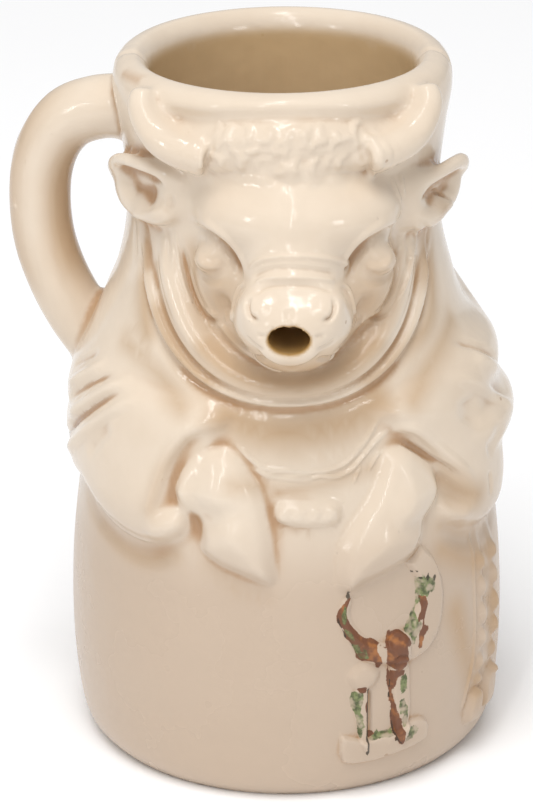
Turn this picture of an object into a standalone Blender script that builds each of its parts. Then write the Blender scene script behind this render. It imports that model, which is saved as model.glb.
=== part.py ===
"""Figural creamer: a hollow pouring jug, cast in one piece as a horned bull in a shawl.

Metres, +Z up, underside on z = 0, face towards -Y, handle at the figure's right hand.
Azimuths are in degrees round the jug from -Y, positive towards +X.
The carving is laid out in steps: the figure is 140 steps high, so a step is 1 mm at the real size.
"""
import math

import bmesh
import bpy
import numpy as np
from mathutils import Matrix, Vector

# Driving dimensions
HEIGHT = 0.140
FOOT_RADIUS = 0.0385
BELLY_RADIUS = 0.0435
WAIST_RADIUS = 0.0403
NECK_RADIUS = 0.0303
RIM_RADIUS = 0.0328
WALL = 0.0045
FLOOR_THICKNESS = 0.0055
MOUTH_WIDTH = 0.0076
MOUTH_HEIGHT = 0.0058
HANDLE_DIAMETER = 0.0124
FINGER_GAP = 0.0127
HANDLE_AZIMUTH = -102.0

# The carving's grid and the fineness of the clay
STEPS_HIGH = 140.0
STEP = HEIGHT / STEPS_HIGH
HEAD_TURN = -3.0
HEAD_SHIFT = 3.6
MASS_VOXEL = 1.3
CLAY_VOXEL = 0.9
OUTER_TRIANGLES = 7600
INNER_TRIANGLES = 1100

GLAZE_COLOUR = (0.80, 0.70, 0.56, 1.0)
GLAZE_ROUGHNESS = 0.16


# Curves and profiles

def smooth_path(points, pieces=8, closed=False):
    """Points along a smooth curve through the given ones."""
    known = np.array(points, float)
    count = len(known)
    spans = count if closed else count - 1
    curve = []
    for i in range(spans):
        before = known[i - 1] if closed or i > 0 else 2 * known[0] - known[1]
        start = known[i]
        end = known[(i + 1) % count]
        last = 2 * known[-1] - known[-2]
        after = known[(i + 2) % count] if closed or i + 2 < count else last
        for t in np.arange(pieces) / pieces:
            curve.append(0.5 * (2 * start + (end - before) * t
                                + (2 * before - 5 * start + 4 * end - after) * t ** 2
                                + (3 * start - before - 3 * end + after) * t ** 3))
    if not closed:
        curve.append(known[-1])
    return np.array(curve)


def jug_profile():
    """Height and radius of the plain jug below the carving, in steps."""
    foot = FOOT_RADIUS / STEP
    belly = BELLY_RADIUS / STEP
    waist = WAIST_RADIUS / STEP
    neck = NECK_RADIUS / STEP
    rim = RIM_RADIUS / STEP
    return smooth_path([
        (0, foot), (2.5, 0.48 * foot + 0.52 * belly), (8, 0.2 * foot + 0.8 * belly), (22, belly),
        (40, 0.8 * belly + 0.2 * waist), (60, waist), (78, 0.7 * waist + 0.3 * neck),
        (92, 0.4 * waist + 0.6 * neck), (104, 0.08 * waist + 0.92 * neck), (115, neck),
        (127, 0.5 * neck + 0.5 * rim), (134.5, rim), (138.3, rim - 0.7)])


PROFILE = jug_profile()


def jug_radius(height):
    """Radius of the plain jug at a height, in steps."""
    return np.interp(height, PROFILE[:, 0], PROFILE[:, 1])


def polar(azimuth, height, radius):
    """A point in metres from an azimuth in degrees and a height and radius in steps."""
    angle = math.radians(azimuth)
    return Vector((radius * math.sin(angle), -radius * math.cos(angle), height)) * STEP


def on_jug(azimuth, height, out):
    """A point in metres that stands out from the plain jug by so many steps."""
    return polar(azimuth, height, float(jug_radius(height)) + out)


def on_head(lateral, out, height):
    """A point in metres on the head, so many steps in front of the neck, shifted and turned with the head."""
    place = Vector((lateral + HEAD_SHIFT, -(NECK_RADIUS / STEP + out), height)) * STEP
    return Matrix.Rotation(math.radians(HEAD_TURN), 3, 'Z') @ place


# Solids that the clay is built up from

def unit_ball():
    """A round ball of one step radius, which every ellipsoid is a stretched copy of."""
    clay = bmesh.new()
    bmesh.ops.create_uvsphere(clay, u_segments=32, v_segments=20, radius=STEP)
    mesh = bpy.data.meshes.new("ball")
    clay.to_mesh(mesh)
    clay.free()
    return mesh


def ellipsoid(clay, ball, centre, radii, turn=0.0, nod=0.0, roll=0.0):
    """An ellipsoid with its radii in steps, rolled about Y, nodded about X and turned about Z."""
    known = len(clay.verts)
    clay.from_mesh(ball)
    place = (Matrix.Translation(centre) @ Matrix.Rotation(math.radians(turn), 4, 'Z')
             @ Matrix.Rotation(math.radians(nod), 4, 'X') @ Matrix.Rotation(math.radians(roll), 4, 'Y')
             @ Matrix.Diagonal(Vector(radii).to_4d()))
    clay.verts.ensure_lookup_table()
    bmesh.ops.transform(clay, matrix=place, verts=clay.verts[known:])


def tube(clay, centres, radii, sides=16):
    """A closed round tube along a line of points, with a radius in metres at each."""
    rings = []
    for i, centre in enumerate(centres):
        ahead = centres[min(i + 1, len(centres) - 1)] - centres[max(i - 1, 0)]
        frame = ahead.to_track_quat('Z', 'Y').to_matrix()
        ring = []
        for k in range(sides):
            angle = 2 * math.pi * k / sides
            offset = frame @ Vector((math.cos(angle), math.sin(angle), 0))
            ring.append(clay.verts.new(centre + offset * radii[i]))
        rings.append(ring)
    for lower, upper in zip(rings, rings[1:]):
        shift = min(range(sides), key=lambda k: (upper[k].co - lower[0].co).length)
        for k in range(sides):
            clay.faces.new((lower[k], lower[(k + 1) % sides],
                            upper[(k + 1 + shift) % sides], upper[(k + shift) % sides]))
    clay.faces.new(reversed(rings[0]))
    clay.faces.new(rings[-1])


def turned(clay, outline, sides=96):
    """A solid of revolution from (height, radius) pairs in steps, closed with flat discs."""
    rings = []
    for height, radius in outline:
        rings.append([clay.verts.new(polar(360.0 * k / sides, height, radius)) for k in range(sides)])
    for lower, upper in zip(rings, rings[1:]):
        for k in range(sides):
            clay.faces.new((lower[k], lower[(k + 1) % sides], upper[(k + 1) % sides], upper[k]))
    clay.faces.new(reversed(rings[0]))
    clay.faces.new(rings[-1])


# Clay: closed lumps fused into one skin

def mesh_object(clay, name):
    """The lumps as an object of their own."""
    bmesh.ops.recalc_face_normals(clay, faces=clay.faces)
    mesh = bpy.data.meshes.new(name)
    clay.to_mesh(mesh)
    clay.free()
    thing = bpy.data.objects.new(name, mesh)
    bpy.context.scene.collection.objects.link(thing)
    return thing


def settle(thing):
    """Turns an object's modifiers into its mesh."""
    bpy.context.view_layer.update()
    evaluated = thing.evaluated_get(bpy.context.evaluated_depsgraph_get())
    mesh = bpy.data.meshes.new_from_object(evaluated)
    thing.modifiers.clear()
    old = thing.data
    thing.data = mesh
    bpy.data.meshes.remove(old)


def fuse(thing, voxel, rounds, triangles=0):
    """Fuses the lumps of an object into one skin, softens it and thins it to a triangle count."""
    remesh = thing.modifiers.new("fuse", 'REMESH')
    remesh.mode = 'VOXEL'
    remesh.voxel_size = voxel * STEP
    soften = thing.modifiers.new("soften", 'SMOOTH')
    soften.factor = 0.5
    soften.iterations = rounds
    settle(thing)
    if triangles:
        thin(thing, triangles)


def thin(thing, triangles):
    """Keeps about so many triangles, most of them where the skin bends."""
    present = sum(len(face.vertices) - 2 for face in thing.data.polygons)
    decimate = thing.modifiers.new("thin", 'DECIMATE')
    decimate.ratio = min(1.0, triangles / present)
    decimate.use_collapse_triangulate = True
    settle(thing)


# The head, in steps: its centre to the side, in front of the neck and above the foot, then its radii
SKULL = ((-1.6, -12.3, 116), (19.3, 18.8, 16.5))
BROW = ((0, -6.6, 116.4), (20.0, 15.6, 8.6))
BRIDGE = ((0, 0.9, 111.5), (9.7, 9, 18.5))
BRIDGE_SLOPE = 27.0
MUZZLE = ((0, 7.3, 99.3), (11.6, 11.0, 8.2))
CHIN = ((0, 6.4, 94), (8.6, 8.2, 5.0))
CHEEK = ((11.4, -6.0, 104.0), (7.6, 9.6, 10.5))
EYE = ((14.6, -1.0, 109.4), (4.6, 4.4, 3.6))
EYE_SLANT = 28.0
NOSTRIL_PAD = ((5.9, 11.0, 102.4), (4.6, 5.2, 4.2))
MOUTH_SIDE = -0.3
MOUTH_LEVEL = 98.8
LIP_ROLL = 1.6
LEAST_HOLLOW = 1.5


def head_lump(clay, ball, lump, side=1, slope=0.0, slant=0.0, inset=0.0):
    """One of the head's lumps, on one side, thinner all over by the inset."""
    (lateral, out, height), radii = lump
    radii = [max(radius - inset, LEAST_HOLLOW) for radius in radii]
    ellipsoid(clay, ball, on_head(side * lateral, out, height), radii, HEAD_TURN, slope, slant)


def head_masses(clay, ball, inset=0.0):
    """Skull, bridge of the nose and muzzle; the inset leaves the wall's thickness round the hollow."""
    head_lump(clay, ball, SKULL, inset=inset)
    head_lump(clay, ball, BRIDGE, slope=-BRIDGE_SLOPE, inset=inset)
    head_lump(clay, ball, MUZZLE, inset=inset)


def jaws(clay, ball):
    """Brow, chin and cheeks."""
    head_lump(clay, ball, BROW)
    head_lump(clay, ball, CHIN)
    for side in (-1, 1):
        head_lump(clay, ball, CHEEK, side)


def face_details(clay, ball):
    """Eyes, the pads that carry the nostrils, and the roll of the lower lip."""
    for side in (-1, 1):
        head_lump(clay, ball, EYE, side, slant=side * EYE_SLANT)
        head_lump(clay, ball, NOSTRIL_PAD, side)
    across = MOUTH_WIDTH / STEP / 2 + 0.9 * LIP_ROLL
    down = MOUTH_HEIGHT / STEP / 2 + 0.8 * LIP_ROLL
    lip = [on_head(MOUTH_SIDE + across * math.cos(a), 15.8 + 0.6 * math.sin(a), MOUTH_LEVEL + down * math.sin(a))
           for a in np.linspace(math.pi, 2 * math.pi, 13)]
    tube(clay, lip, [LIP_ROLL * STEP] * len(lip))


def horns(clay):
    """Two horns that curl up against the rim from beside the forelock."""
    line = smooth_path([(26.5, 127.6, -0.1), (33, 128.6, 1.6), (40, 130.2, 2.1),
                        (46, 133.2, 1.6), (50, 136.6, 1.0), (51.5, 139.2, 0.2)])
    share = np.linspace(0, 1, len(line))
    for side, shift in ((-1, 0.0), (1, 2.5)):
        centres = [on_jug(side * azimuth + shift, height, out) for azimuth, height, out in line]
        tube(clay, centres, [(3.6 - 1.5 * s ** 1.3) * STEP for s in share])


# The ears, each with its own droop: leaf, rolled upper fold and lower lobe, in degrees, steps and steps out
EAR_LEAF = {-1: ((38, 118.4, -1.0), (50, 117.9, 0.6), (61, 117.4, 1.4), (71, 117.0, 1.6), (78.5, 117.4, 1.3)),
            1: ((38, 117.2, -1.0), (50, 116.2, 0.7), (62, 115.6, 1.9), (73, 115.6, 2.9), (80.5, 116.6, 3.3))}
EAR_FOLD = {-1: ((39, 121.0, 0.6), (47, 122.6, 1.6), (54, 123.5, 2.4), (62, 123.0, 2.9), (70, 121.0, 2.8),
                 (77, 118.8, 2.1)),
            1: ((44, 118.4, 0.6), (53, 119.4, 1.7), (61, 120.2, 2.8), (69, 120.8, 3.7), (76, 120.2, 4.3),
                (82, 118.4, 4.1))}
EAR_LOBE = {-1: ((52, 115.6, 1.0), (5.8, 2.6, 2.8)), 1: ((59, 112.9, 1.6), (6.8, 2.9, 3.4))}


def ears(clay, ball):
    """Two leaf-shaped ears that stand out sideways below the horns."""
    for side in (-1, 1):
        line = smooth_path(EAR_LEAF[side], 5)
        for share, (azimuth, height, out) in zip(np.linspace(0, 1, len(line)), line):
            swell = math.sin(math.pi * min(1.0, 0.28 + 0.72 * share)) ** 0.7
            ellipsoid(clay, ball, on_jug(side * azimuth, height, out),
                      (2.4, 0.8 + 1.8 * swell, 1.0 + 5.0 * swell), side * azimuth)
        fold = smooth_path(EAR_FOLD[side])
        tube(clay, [on_jug(side * azimuth, height, out) for azimuth, height, out in fold],
             [(1.1 + 0.7 * share) * STEP for share in np.linspace(0, 1, len(fold))])
        (azimuth, height, out), radii = EAR_LOBE[side]
        ellipsoid(clay, ball, on_jug(side * azimuth, height, out), radii, side * azimuth)


def handle(clay):
    """A round handle that springs from the neck and lands on the shoulder."""
    half = HANDLE_DIAMETER / STEP / 2
    reach = (NECK_RADIUS + FINGER_GAP) / STEP + half
    line = smooth_path([
        (125.6, 27), (126.8, 33), (126.2, reach - 11.6), (124.1, reach - 6.6), (119.6, reach - 2.8),
        (113.5, reach - 0.6), (106.2, reach), (98.9, reach - 0.7), (92.1, reach - 2.8), (86, reach - 5.7),
        (81, reach - 9), (76.5, reach - 13)])
    centres = [polar(HANDLE_AZIMUTH, h, r) for h, r in line]
    share = np.linspace(0, 1, len(line))
    tube(clay, centres, [(half + 0.5 * s ** 6) * STEP for s in share], 24)


# Relief: bands, pads and grooves pressed into the skin by azimuth and height

def distance_along(skin, path):
    """Distance of flat points from a path, and the share of the way along it where they lie."""
    nearest = np.full(len(skin), 1e9)
    share = np.zeros(len(skin))
    spans = len(path) - 1
    for i in range(spans):
        step = path[i + 1] - path[i]
        t = np.clip(((skin - path[i]) @ step) / max(step @ step, 1e-9), 0, 1)
        away = np.linalg.norm(skin - path[i] - t[:, None] * step, axis=1)
        closer = away < nearest
        nearest[closer] = away[closer]
        share[closer] = (i + t[closer]) / spans
    return nearest, share


def depth_inside(skin, path):
    """Depth of flat points inside a closed outline, negative outside it."""
    within = np.zeros(len(skin), bool)
    for (ax, ay), (bx, by) in zip(path, np.roll(path, -1, axis=0)):
        if ay == by:
            continue
        crosses = (ay > skin[:, 1]) != (by > skin[:, 1])
        within ^= crosses & (skin[:, 0] < ax + (skin[:, 1] - ay) * (bx - ax) / (by - ay))
    distance, _ = distance_along(skin, np.vstack([path, path[:1]]))
    return np.where(within, distance, -distance)


class Relief:
    """The skin's points in azimuth, height and radius, and what is added to each radius."""

    def __init__(self, thing):
        self.thing = thing
        flat = np.empty(len(thing.data.vertices) * 3, np.float32)
        thing.data.vertices.foreach_get("co", flat)
        self.points = flat.reshape(-1, 3).astype(float) / STEP
        self.azimuth = np.degrees(np.arctan2(self.points[:, 0], -self.points[:, 1]))
        self.height = self.points[:, 2]
        self.radius = np.hypot(self.points[:, 0], self.points[:, 1])
        self.plain = jug_radius(self.height)
        self.added = np.zeros(len(self.points))
        self.near = self.radius < self.plain + 9.5

    def laid_flat(self, points, margin, closed=False):
        """Numbers of the skin's points near a path, and those points and the path laid flat, in steps."""
        path = smooth_path(points, 6, closed)
        across = np.array([math.radians(1.0) * float(jug_radius(np.mean(path[:, 1])) + 2), 1.0])
        path = path * across
        flat = np.stack([self.azimuth, self.height], 1) * across
        close = np.all((flat > path.min(0) - margin) & (flat < path.max(0) + margin), axis=1)
        numbers = np.flatnonzero(close & self.near)
        return numbers, flat[numbers], path

    def band(self, points, width, rise, taper=0.15):
        """A rounded ridge, or a groove where the rise is negative, that fades at its ends."""
        numbers, skin, path = self.laid_flat(points, width)
        distance, share = distance_along(skin, path)
        section = np.where(distance < width, 0.5 + 0.5 * np.cos(math.pi * distance / width), 0)
        ends = np.clip(np.minimum(share, 1 - share) / taper, 0, 1)
        self.added[numbers] += rise * section * ends

    def pad(self, points, rise, edge, crown=0.0, over=False):
        """A raised patch with rolled edges, crowned towards its middle."""
        numbers, skin, path = self.laid_flat(points, 0.0, True)
        depth = depth_inside(skin, path)
        rolled = np.sqrt(1 - (1 - np.clip(depth / edge, 0, 1)) ** 2)
        hill = crown * (1 - np.exp(-np.clip(depth - edge, 0, None) / 4.0))
        lifted = np.where(depth > 0, (rise + hill) * rolled, 0)
        if over:
            self.added[numbers] = np.maximum(self.added[numbers], lifted)
        else:
            self.added[numbers] += lifted

    def press(self):
        """Moves the skin outwards by what was added, and starts again from there."""
        angle = np.radians(self.azimuth)
        self.points[:, 0] += self.added * np.sin(angle)
        self.points[:, 1] -= self.added * np.cos(angle)
        flat = (self.points * STEP).astype(np.float32).ravel()
        self.thing.data.vertices.foreach_set("co", flat)
        self.thing.data.update()
        self.radius += self.added
        self.added[:] = 0


# How far each arm stands out from the jug at the elbow, in steps: height and rise
RIGHT_HAND_ARM = ((56, 0), (58.5, 2.2), (62, 3.2), (66, 4.3), (69, 3.9), (72, 4.9), (77.5, 4.4), (82.5, 3.0),
                  (88, 1.6), (97, 0))
LEFT_HAND_ARM = ((54, 0), (57, 1.8), (62, 3.2), (66.5, 6.0), (70, 6.6), (74, 4.2), (79.5, 5.4), (83.5, 4.5),
                 (88, 1.0), (93, 0), (98, 0))


def ramp(value):
    """A smooth rise from 0 to 1."""
    value = np.clip(value, 0, 1)
    return value * value * (3 - 2 * value)


def shoulders(relief):
    """The bent arms' mass under the shawl, fullest at the elbows, rising to the back behind them."""
    for side, elbow, outline in ((-1, 90.0, RIGHT_HAND_ARM), (1, 86.0, LEFT_HAND_ARM)):
        section = smooth_path(outline, 4)
        turn = relief.azimuth * side - elbow
        across = ramp((50 + turn) / 36) * ramp((50 - turn) / 40)
        height = relief.height - 20 * ramp((turn - 12) / 40)
        rise = np.interp(height, section[:, 0], section[:, 1])
        relief.added += np.where(relief.near, rise * across, 0)


# Outlines on the skin, in degrees and steps
LEFT_SLEEVE = ((-84, 58.6), (-68, 56.0), (-58, 53.6), (-47, 52.0), (-38, 51.6), (-29, 53.2),
               (-25, 58), (-24, 68), (-17, 76), (-15.5, 79.5), (-25, 82.5), (-40, 82), (-60, 84), (-84, 84))
LEFT_HOLLOW = ((-36, 59.0), (-34.6, 64), (-31.8, 70.4), (-28, 75.4), (-20, 77.6), (-18, 75.4), (-24, 72),
               (-27, 66), (-27, 60.4), (-31, 59.0))
LEFT_HOOF = ((-20, 73.8), (-26.5, 70.6), (-30.4, 66), (-30.4, 63), (-27.6, 60.2), (-23.6, 56), (-23.2, 52.6),
             (-18.6, 50.1), (-13, 48.5), (-5, 46.7), (-2.2, 47.8), (-2.6, 53), (-3.6, 59), (-6.1, 65.4),
             (-8.8, 68.8), (-13.1, 72.4))
RIGHT_SLEEVE = ((26, 79.4), (34, 82), (46, 84), (66, 86), (88, 86), (88, 60), (80, 51), (68, 48.8), (56, 50.0),
                (47, 52.6), (42, 56), (44, 61), (42, 68), (34, 73.5))
RIGHT_HOLLOW = ((43.0, 66.8), (47, 65.4), (51.4, 62), (55, 58.4), (56, 55.4), (50, 54.6), (45.4, 57), (44, 61))
RIGHT_HOOF = ((36, 71.6), (29, 71.4), (26.4, 68), (22.8, 63.2), (17.4, 58.5), (13.8, 54.2), (12.6, 49.4),
              (13.4, 45.4), (16.8, 44.2), (21, 45.6), (30.4, 47.6), (36, 49.6), (39.4, 52.4), (41.2, 55.6),
              (45.2, 59.4), (46.4, 62.2), (43.4, 66.8))
ELBOW_FOLDS = ((84, 69, 64, 79.6), (76, 70, 50, 81), (73, 63.5, 46, 79), (75, 60.7, 62, 67))


def sleeves(relief):
    """Wide sleeves with turned cuffs, and the folds at the elbows."""
    relief.pad(LEFT_SLEEVE, 2.9, 3.2, 1.2, over=True)
    relief.pad(RIGHT_SLEEVE, 2.7, 3.2, 1.2, over=True)
    relief.press()
    relief.pad(LEFT_HOLLOW, -1.8, 3.0)
    relief.pad(RIGHT_HOLLOW, -2.2, 3.0)
    relief.press()
    for side in (-1, 1):
        for outer, low, inner, high in ELBOW_FOLDS:
            middle = ((outer + inner) / 2, (low + high) / 2 + 1.0)
            relief.band([(side * a, h) for a, h in ((outer, low), middle, (inner, high))], 2.4, 1.0)
    relief.press()


def hooves(relief):
    """The hooves that come out of the sleeves."""
    relief.pad(LEFT_HOOF, 2.4, 3.6, 1.6)
    relief.pad(RIGHT_HOOF, 2.6, 3.6, 1.6)
    relief.band([(-27, 60.5), (-22, 61.5), (-16, 62.5)], 2.2, -0.9)
    relief.band([(38.5, 56.5), (32, 56.2), (26, 57.5)], 2.0, -0.9)
    relief.press()


# Loops of the collar: half its turn, heights of its ends and its middle, half width and rise
COLLAR_MIDDLE = 1.5
COLLAR_LOOPS = ((68, 107.5, 80.2, 1.8, -0.7), (64, 107.5, 82.0, 1.7, 1.1), (52.5, 110.5, 85.2, 4.0, 1.9),
                (45, 112.0, 87.6, 2.0, -0.9))


def collar(relief):
    """Two rolls of the shawl's collar, and the grooves beside them, that hang in loops from ear to ear."""
    for half_turn, top, bottom, width, rise in COLLAR_LOOPS:
        loop = []
        for across in np.linspace(-1, 1, 9):
            drop = (1 - abs(across) ** 2.3) * (top - bottom)
            loop.append((COLLAR_MIDDLE + half_turn * across, top - drop))
        relief.band(loop, width, rise, 0.08)
    relief.press()


def forelock(relief):
    """The tuft of curls between the horns, under the rim."""
    relief.pad([(-27, 131.5), (-15, 134.6), (3, 135.4), (20, 134.6), (31, 131.5), (29, 126), (17, 125.2),
                (2, 124.8), (-12, 125.6), (-25, 126)], 1.9, 2.4)
    relief.band([(-52, 136.6), (-28, 136.2), (2, 137.4), (28, 136.2), (52, 136.6)], 1.6, -0.4)
    relief.press()


def ear_cups(relief):
    """The hollows of the ears."""
    for side in (-1, 1):
        relief.band([(side * 46, 116.4), (side * 58, 116.8), (side * 72, 118.2)], 4.2, -2.8, 0.3)
    relief.press()


# The strands of beads, in degrees and steps
STRANDS = (63.0, 71.5)
BEADS = 6
BEAD_PITCH = 5.2
TOP_BEAD = 45.0


def waist_things(relief):
    """Rope at the waist, hem of the shawl, and the strands of beads at the side."""
    relief.band([(-19.9, 76.6), (-8.2, 70.2), (0.6, 68.3), (13.2, 67.8), (21.4, 70.5), (29, 76.8)], 1.8, 0.7)
    relief.pad([(-2.4, 59.4), (-2.4, 63), (6, 63.8), (14.6, 63), (14.6, 59.2), (6, 58.4)], 1.1, 1.8)
    for azimuth in STRANDS:
        for i in range(BEADS):
            relief.pad(oval(azimuth, TOP_BEAD - i * BEAD_PITCH, 2.1, BEAD_PITCH / 2 - 0.15), 1.5, 2.0)
    relief.band([(59.4, 49), (59.8, 36), (59, 23), (55.7, 13.7)], 1.2, 0.5)
    relief.pad([(57, 15), (68, 15.4), (69, 7.4), (57, 6.6)], 2.0, 1.6)
    relief.press()


def oval(azimuth, height, half_width, half_height, corners=10):
    """Points on an oval on the jug's skin, its half width in steps."""
    scale = 1 / (math.radians(1.0) * float(jug_radius(height) + 2))
    angles = 2 * math.pi * np.arange(corners) / corners
    return [(azimuth + half_width * scale * math.cos(a), height + half_height * math.sin(a)) for a in angles]


# The ring of keys, in degrees and steps
RING_CENTRE = (26.4, 41.8)
RING_RADIUS = 8.4
RING_BAND = 2.0
BIT_LEVEL = 11.8


def keys(relief):
    """A ring with two keys that hangs from the hoof at the figure's left."""
    around = np.radians(np.arange(140, 401, 20))
    scale = 1 / (math.radians(1.0) * float(jug_radius(RING_CENTRE[1]) + 2))
    ring = [(RING_CENTRE[0] + RING_RADIUS * scale * math.cos(a), RING_CENTRE[1] + RING_RADIUS * math.sin(a))
            for a in around]
    relief.band(ring, RING_BAND, 1.1, 0.04)
    for azimuth, bow_level, shank_end, side in ((20.0, 27.8, 13.6, -1), (29.6, 31.5, 11.0, 1)):
        relief.pad(oval(azimuth, bow_level, 3.0, 2.8), 1.2, 1.4)
        relief.band([(azimuth, bow_level - 3), (azimuth + 0.4, shank_end)], 2.2, 1.1, 0.04)
        relief.band([(azimuth + side, BIT_LEVEL), (azimuth + 6.5 * side, BIT_LEVEL - 0.5)], 3.2, 0.9, 0.04)
    relief.band([(18, BIT_LEVEL - 1.4), (35, BIT_LEVEL - 1.4)], 2.2, 0.6, 0.05)
    relief.press()


# Putting the jug together

def outer_form(ball):
    """The figure's outside, standing a little through the ground until it is cut flat."""
    masses = bmesh.new()
    skirt = [(-4.0, FOOT_RADIUS / STEP - 3.5)]
    lip = [(139.6, RIM_RADIUS / STEP - 2.0), (140.0, RIM_RADIUS / STEP - 4.0), (140.0, 12.0)]
    turned(masses, skirt + [tuple(point) for point in PROFILE] + lip)
    head_masses(masses, ball)
    jaws(masses, ball)
    figure = mesh_object(masses, "creamer")
    fuse(figure, MASS_VOXEL, 10)
    relief = Relief(figure)
    shoulders(relief)
    sleeves(relief)

    clay = bmesh.new()
    face_details(clay, ball)
    horns(clay)
    ears(clay, ball)
    handle(clay)
    bmesh.ops.recalc_face_normals(clay, faces=clay.faces)
    clay.from_mesh(figure.data)
    clay.to_mesh(figure.data)
    clay.free()
    fuse(figure, CLAY_VOXEL, 4)

    relief = Relief(figure)
    hooves(relief)
    collar(relief)
    forelock(relief)
    ear_cups(relief)
    waist_things(relief)
    keys(relief)
    thin(figure, OUTER_TRIANGLES)
    return figure


def inner_form(ball):
    """The hollow: the jug's own shape, a wall's thickness in, open through the rim."""
    wall = WALL / STEP
    floor = FLOOR_THICKNESS / STEP
    opening = RIM_RADIUS / STEP - 3.0 - wall
    hollow = bmesh.new()
    heights = [h for h in PROFILE[:, 0] if floor + 4 < h < 118]
    outline = [(floor, jug_radius(floor) - wall - 5), (floor + 1, jug_radius(floor) - wall - 2)]
    outline += [(h, float(jug_radius(h)) - wall) for h in heights]
    outline += [(122, opening), (136.5, opening), (138.6, opening + 0.8), (139.6, opening + 2.0),
                (140.2, opening + 3.6), (144, opening + 5)]
    turned(hollow, outline)
    head_masses(hollow, ball, wall)
    return mesh_object(hollow, "hollow")


def mouth_form():
    """The pouring hole, from the muzzle's hollow out through the lips."""
    inner_end = on_head(MOUTH_SIDE, MUZZLE[0][1] - 4, MOUTH_LEVEL)
    outer_end = on_head(MOUTH_SIDE, MUZZLE[0][1] + 2 * MUZZLE[1][1], MOUTH_LEVEL)
    place = (Matrix.Translation((inner_end + outer_end) / 2) @ Matrix.Rotation(math.radians(HEAD_TURN), 4, 'Z')
             @ Matrix.Rotation(math.radians(90), 4, 'X')
             @ Matrix.Diagonal(Vector((MOUTH_WIDTH / 2, MOUTH_HEIGHT / 2, 1, 1))))
    clay = bmesh.new()
    bmesh.ops.create_cone(clay, cap_ends=True, segments=20, radius1=1, radius2=1,
                          depth=(outer_end - inner_end).length, matrix=place)
    return mesh_object(clay, "mouth hole")


def cut(thing, cutter):
    """Takes a cutter out of an object."""
    boolean = thing.modifiers.new(cutter.name, 'BOOLEAN')
    boolean.operation = 'DIFFERENCE'
    boolean.solver = 'EXACT'
    boolean.object = cutter
    cutter.hide_render = True
    cutter.display_type = 'WIRE'


def ground_block():
    """A block that cuts the underside flat on z = 0."""
    clay = bmesh.new()
    bmesh.ops.create_cube(clay, size=1.0, matrix=Matrix.Translation((0, 0, -0.5)))
    return mesh_object(clay, "ground")


def glaze():
    """Glossy cream glaze."""
    material = bpy.data.materials.new("cream glaze")
    material.use_nodes = True
    shader = material.node_tree.nodes["Principled BSDF"]
    shader.inputs["Base Color"].default_value = GLAZE_COLOUR
    shader.inputs["Roughness"].default_value = GLAZE_ROUGHNESS
    shader.inputs["Metallic"].default_value = 0.0
    return material


def main():
    for thing in list(bpy.data.objects):
        bpy.data.objects.remove(thing)
    ball = unit_ball()
    creamer = outer_form(ball)
    hollow = inner_form(ball)
    fuse(hollow, MASS_VOXEL, 3, INNER_TRIANGLES)
    for cutter in (ground_block(), hollow, mouth_form()):
        cut(creamer, cutter)
    creamer.data.materials.append(glaze())
    creamer.data.shade_smooth()
    creamer.data.set_sharp_from_angle(angle=math.radians(50))


main()
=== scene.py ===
"""Looks of the figural creamer: a slip-cast bull in a shawl, built up in clay, carved, hollowed and glazed.

The carving is laid out in steps, of which the figure is 140 high, so a step is about a millimetre.
Places round the jug are an azimuth in degrees from the front (-Y), positive towards +X, and a height.
Places on the face are a distance to the side and a height, turned with the head.
"""
import math

import bpy
import numpy as np
from mathutils import Matrix, Vector
from mathutils.bvhtree import BVHTree


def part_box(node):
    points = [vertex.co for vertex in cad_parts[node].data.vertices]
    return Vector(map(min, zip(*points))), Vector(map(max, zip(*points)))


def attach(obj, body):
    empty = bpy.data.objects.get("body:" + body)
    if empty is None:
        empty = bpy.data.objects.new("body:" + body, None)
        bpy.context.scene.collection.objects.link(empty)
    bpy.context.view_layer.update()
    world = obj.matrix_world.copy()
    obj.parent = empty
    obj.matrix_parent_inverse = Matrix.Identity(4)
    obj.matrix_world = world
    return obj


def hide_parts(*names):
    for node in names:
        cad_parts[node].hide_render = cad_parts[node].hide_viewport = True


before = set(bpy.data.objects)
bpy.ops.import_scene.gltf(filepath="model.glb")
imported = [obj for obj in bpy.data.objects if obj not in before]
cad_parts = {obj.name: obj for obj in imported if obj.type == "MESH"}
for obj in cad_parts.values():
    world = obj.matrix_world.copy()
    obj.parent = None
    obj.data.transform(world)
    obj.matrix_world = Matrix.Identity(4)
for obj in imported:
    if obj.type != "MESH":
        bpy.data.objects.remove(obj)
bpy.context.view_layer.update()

# Sizes from the frame
FIGURE_LOW, FIGURE_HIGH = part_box("creamer")
STEPS_HIGH = 140.0
STEP = (FIGURE_HIGH.z - FIGURE_LOW.z) / STEPS_HIGH

# The jug, in steps
FOOT = 38.5
BELLY = 43.5
WAIST = 40.3
NECK = 30.3
RIM = 32.8
WALL = 4.5
FLOOR = 5.5
HANDLE = 12.4
FINGER_GAP = 12.7
HANDLE_AZIMUTH = -102.0
MOUTH_WIDTH = 7.6
MOUTH_HEIGHT = 5.5

# Fineness of the clay, in steps, and the size of the finished mesh
MASS_VOXEL = 1.1
CUT_VOXEL = 0.8
SKIN_VOXEL = 0.56
TRIANGLES = 194000


# Paths and places

def smooth_path(points, pieces=8, closed=False):
    """Points along a smooth curve through the given ones."""
    known = np.array(points, float)
    count = len(known)
    spans = count if closed else count - 1
    curve = []
    for i in range(spans):
        before = known[i - 1] if closed or i > 0 else 2 * known[0] - known[1]
        start = known[i]
        end = known[(i + 1) % count]
        last = 2 * known[-1] - known[-2]
        after = known[(i + 2) % count] if closed or i + 2 < count else last
        for t in np.arange(pieces) / pieces:
            curve.append(0.5 * (2 * start + (end - before) * t
                                + (2 * before - 5 * start + 4 * end - after) * t ** 2
                                + (3 * start - before - 3 * end + after) * t ** 3))
    if not closed:
        curve.append(known[-1])
    return np.array(curve)


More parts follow.
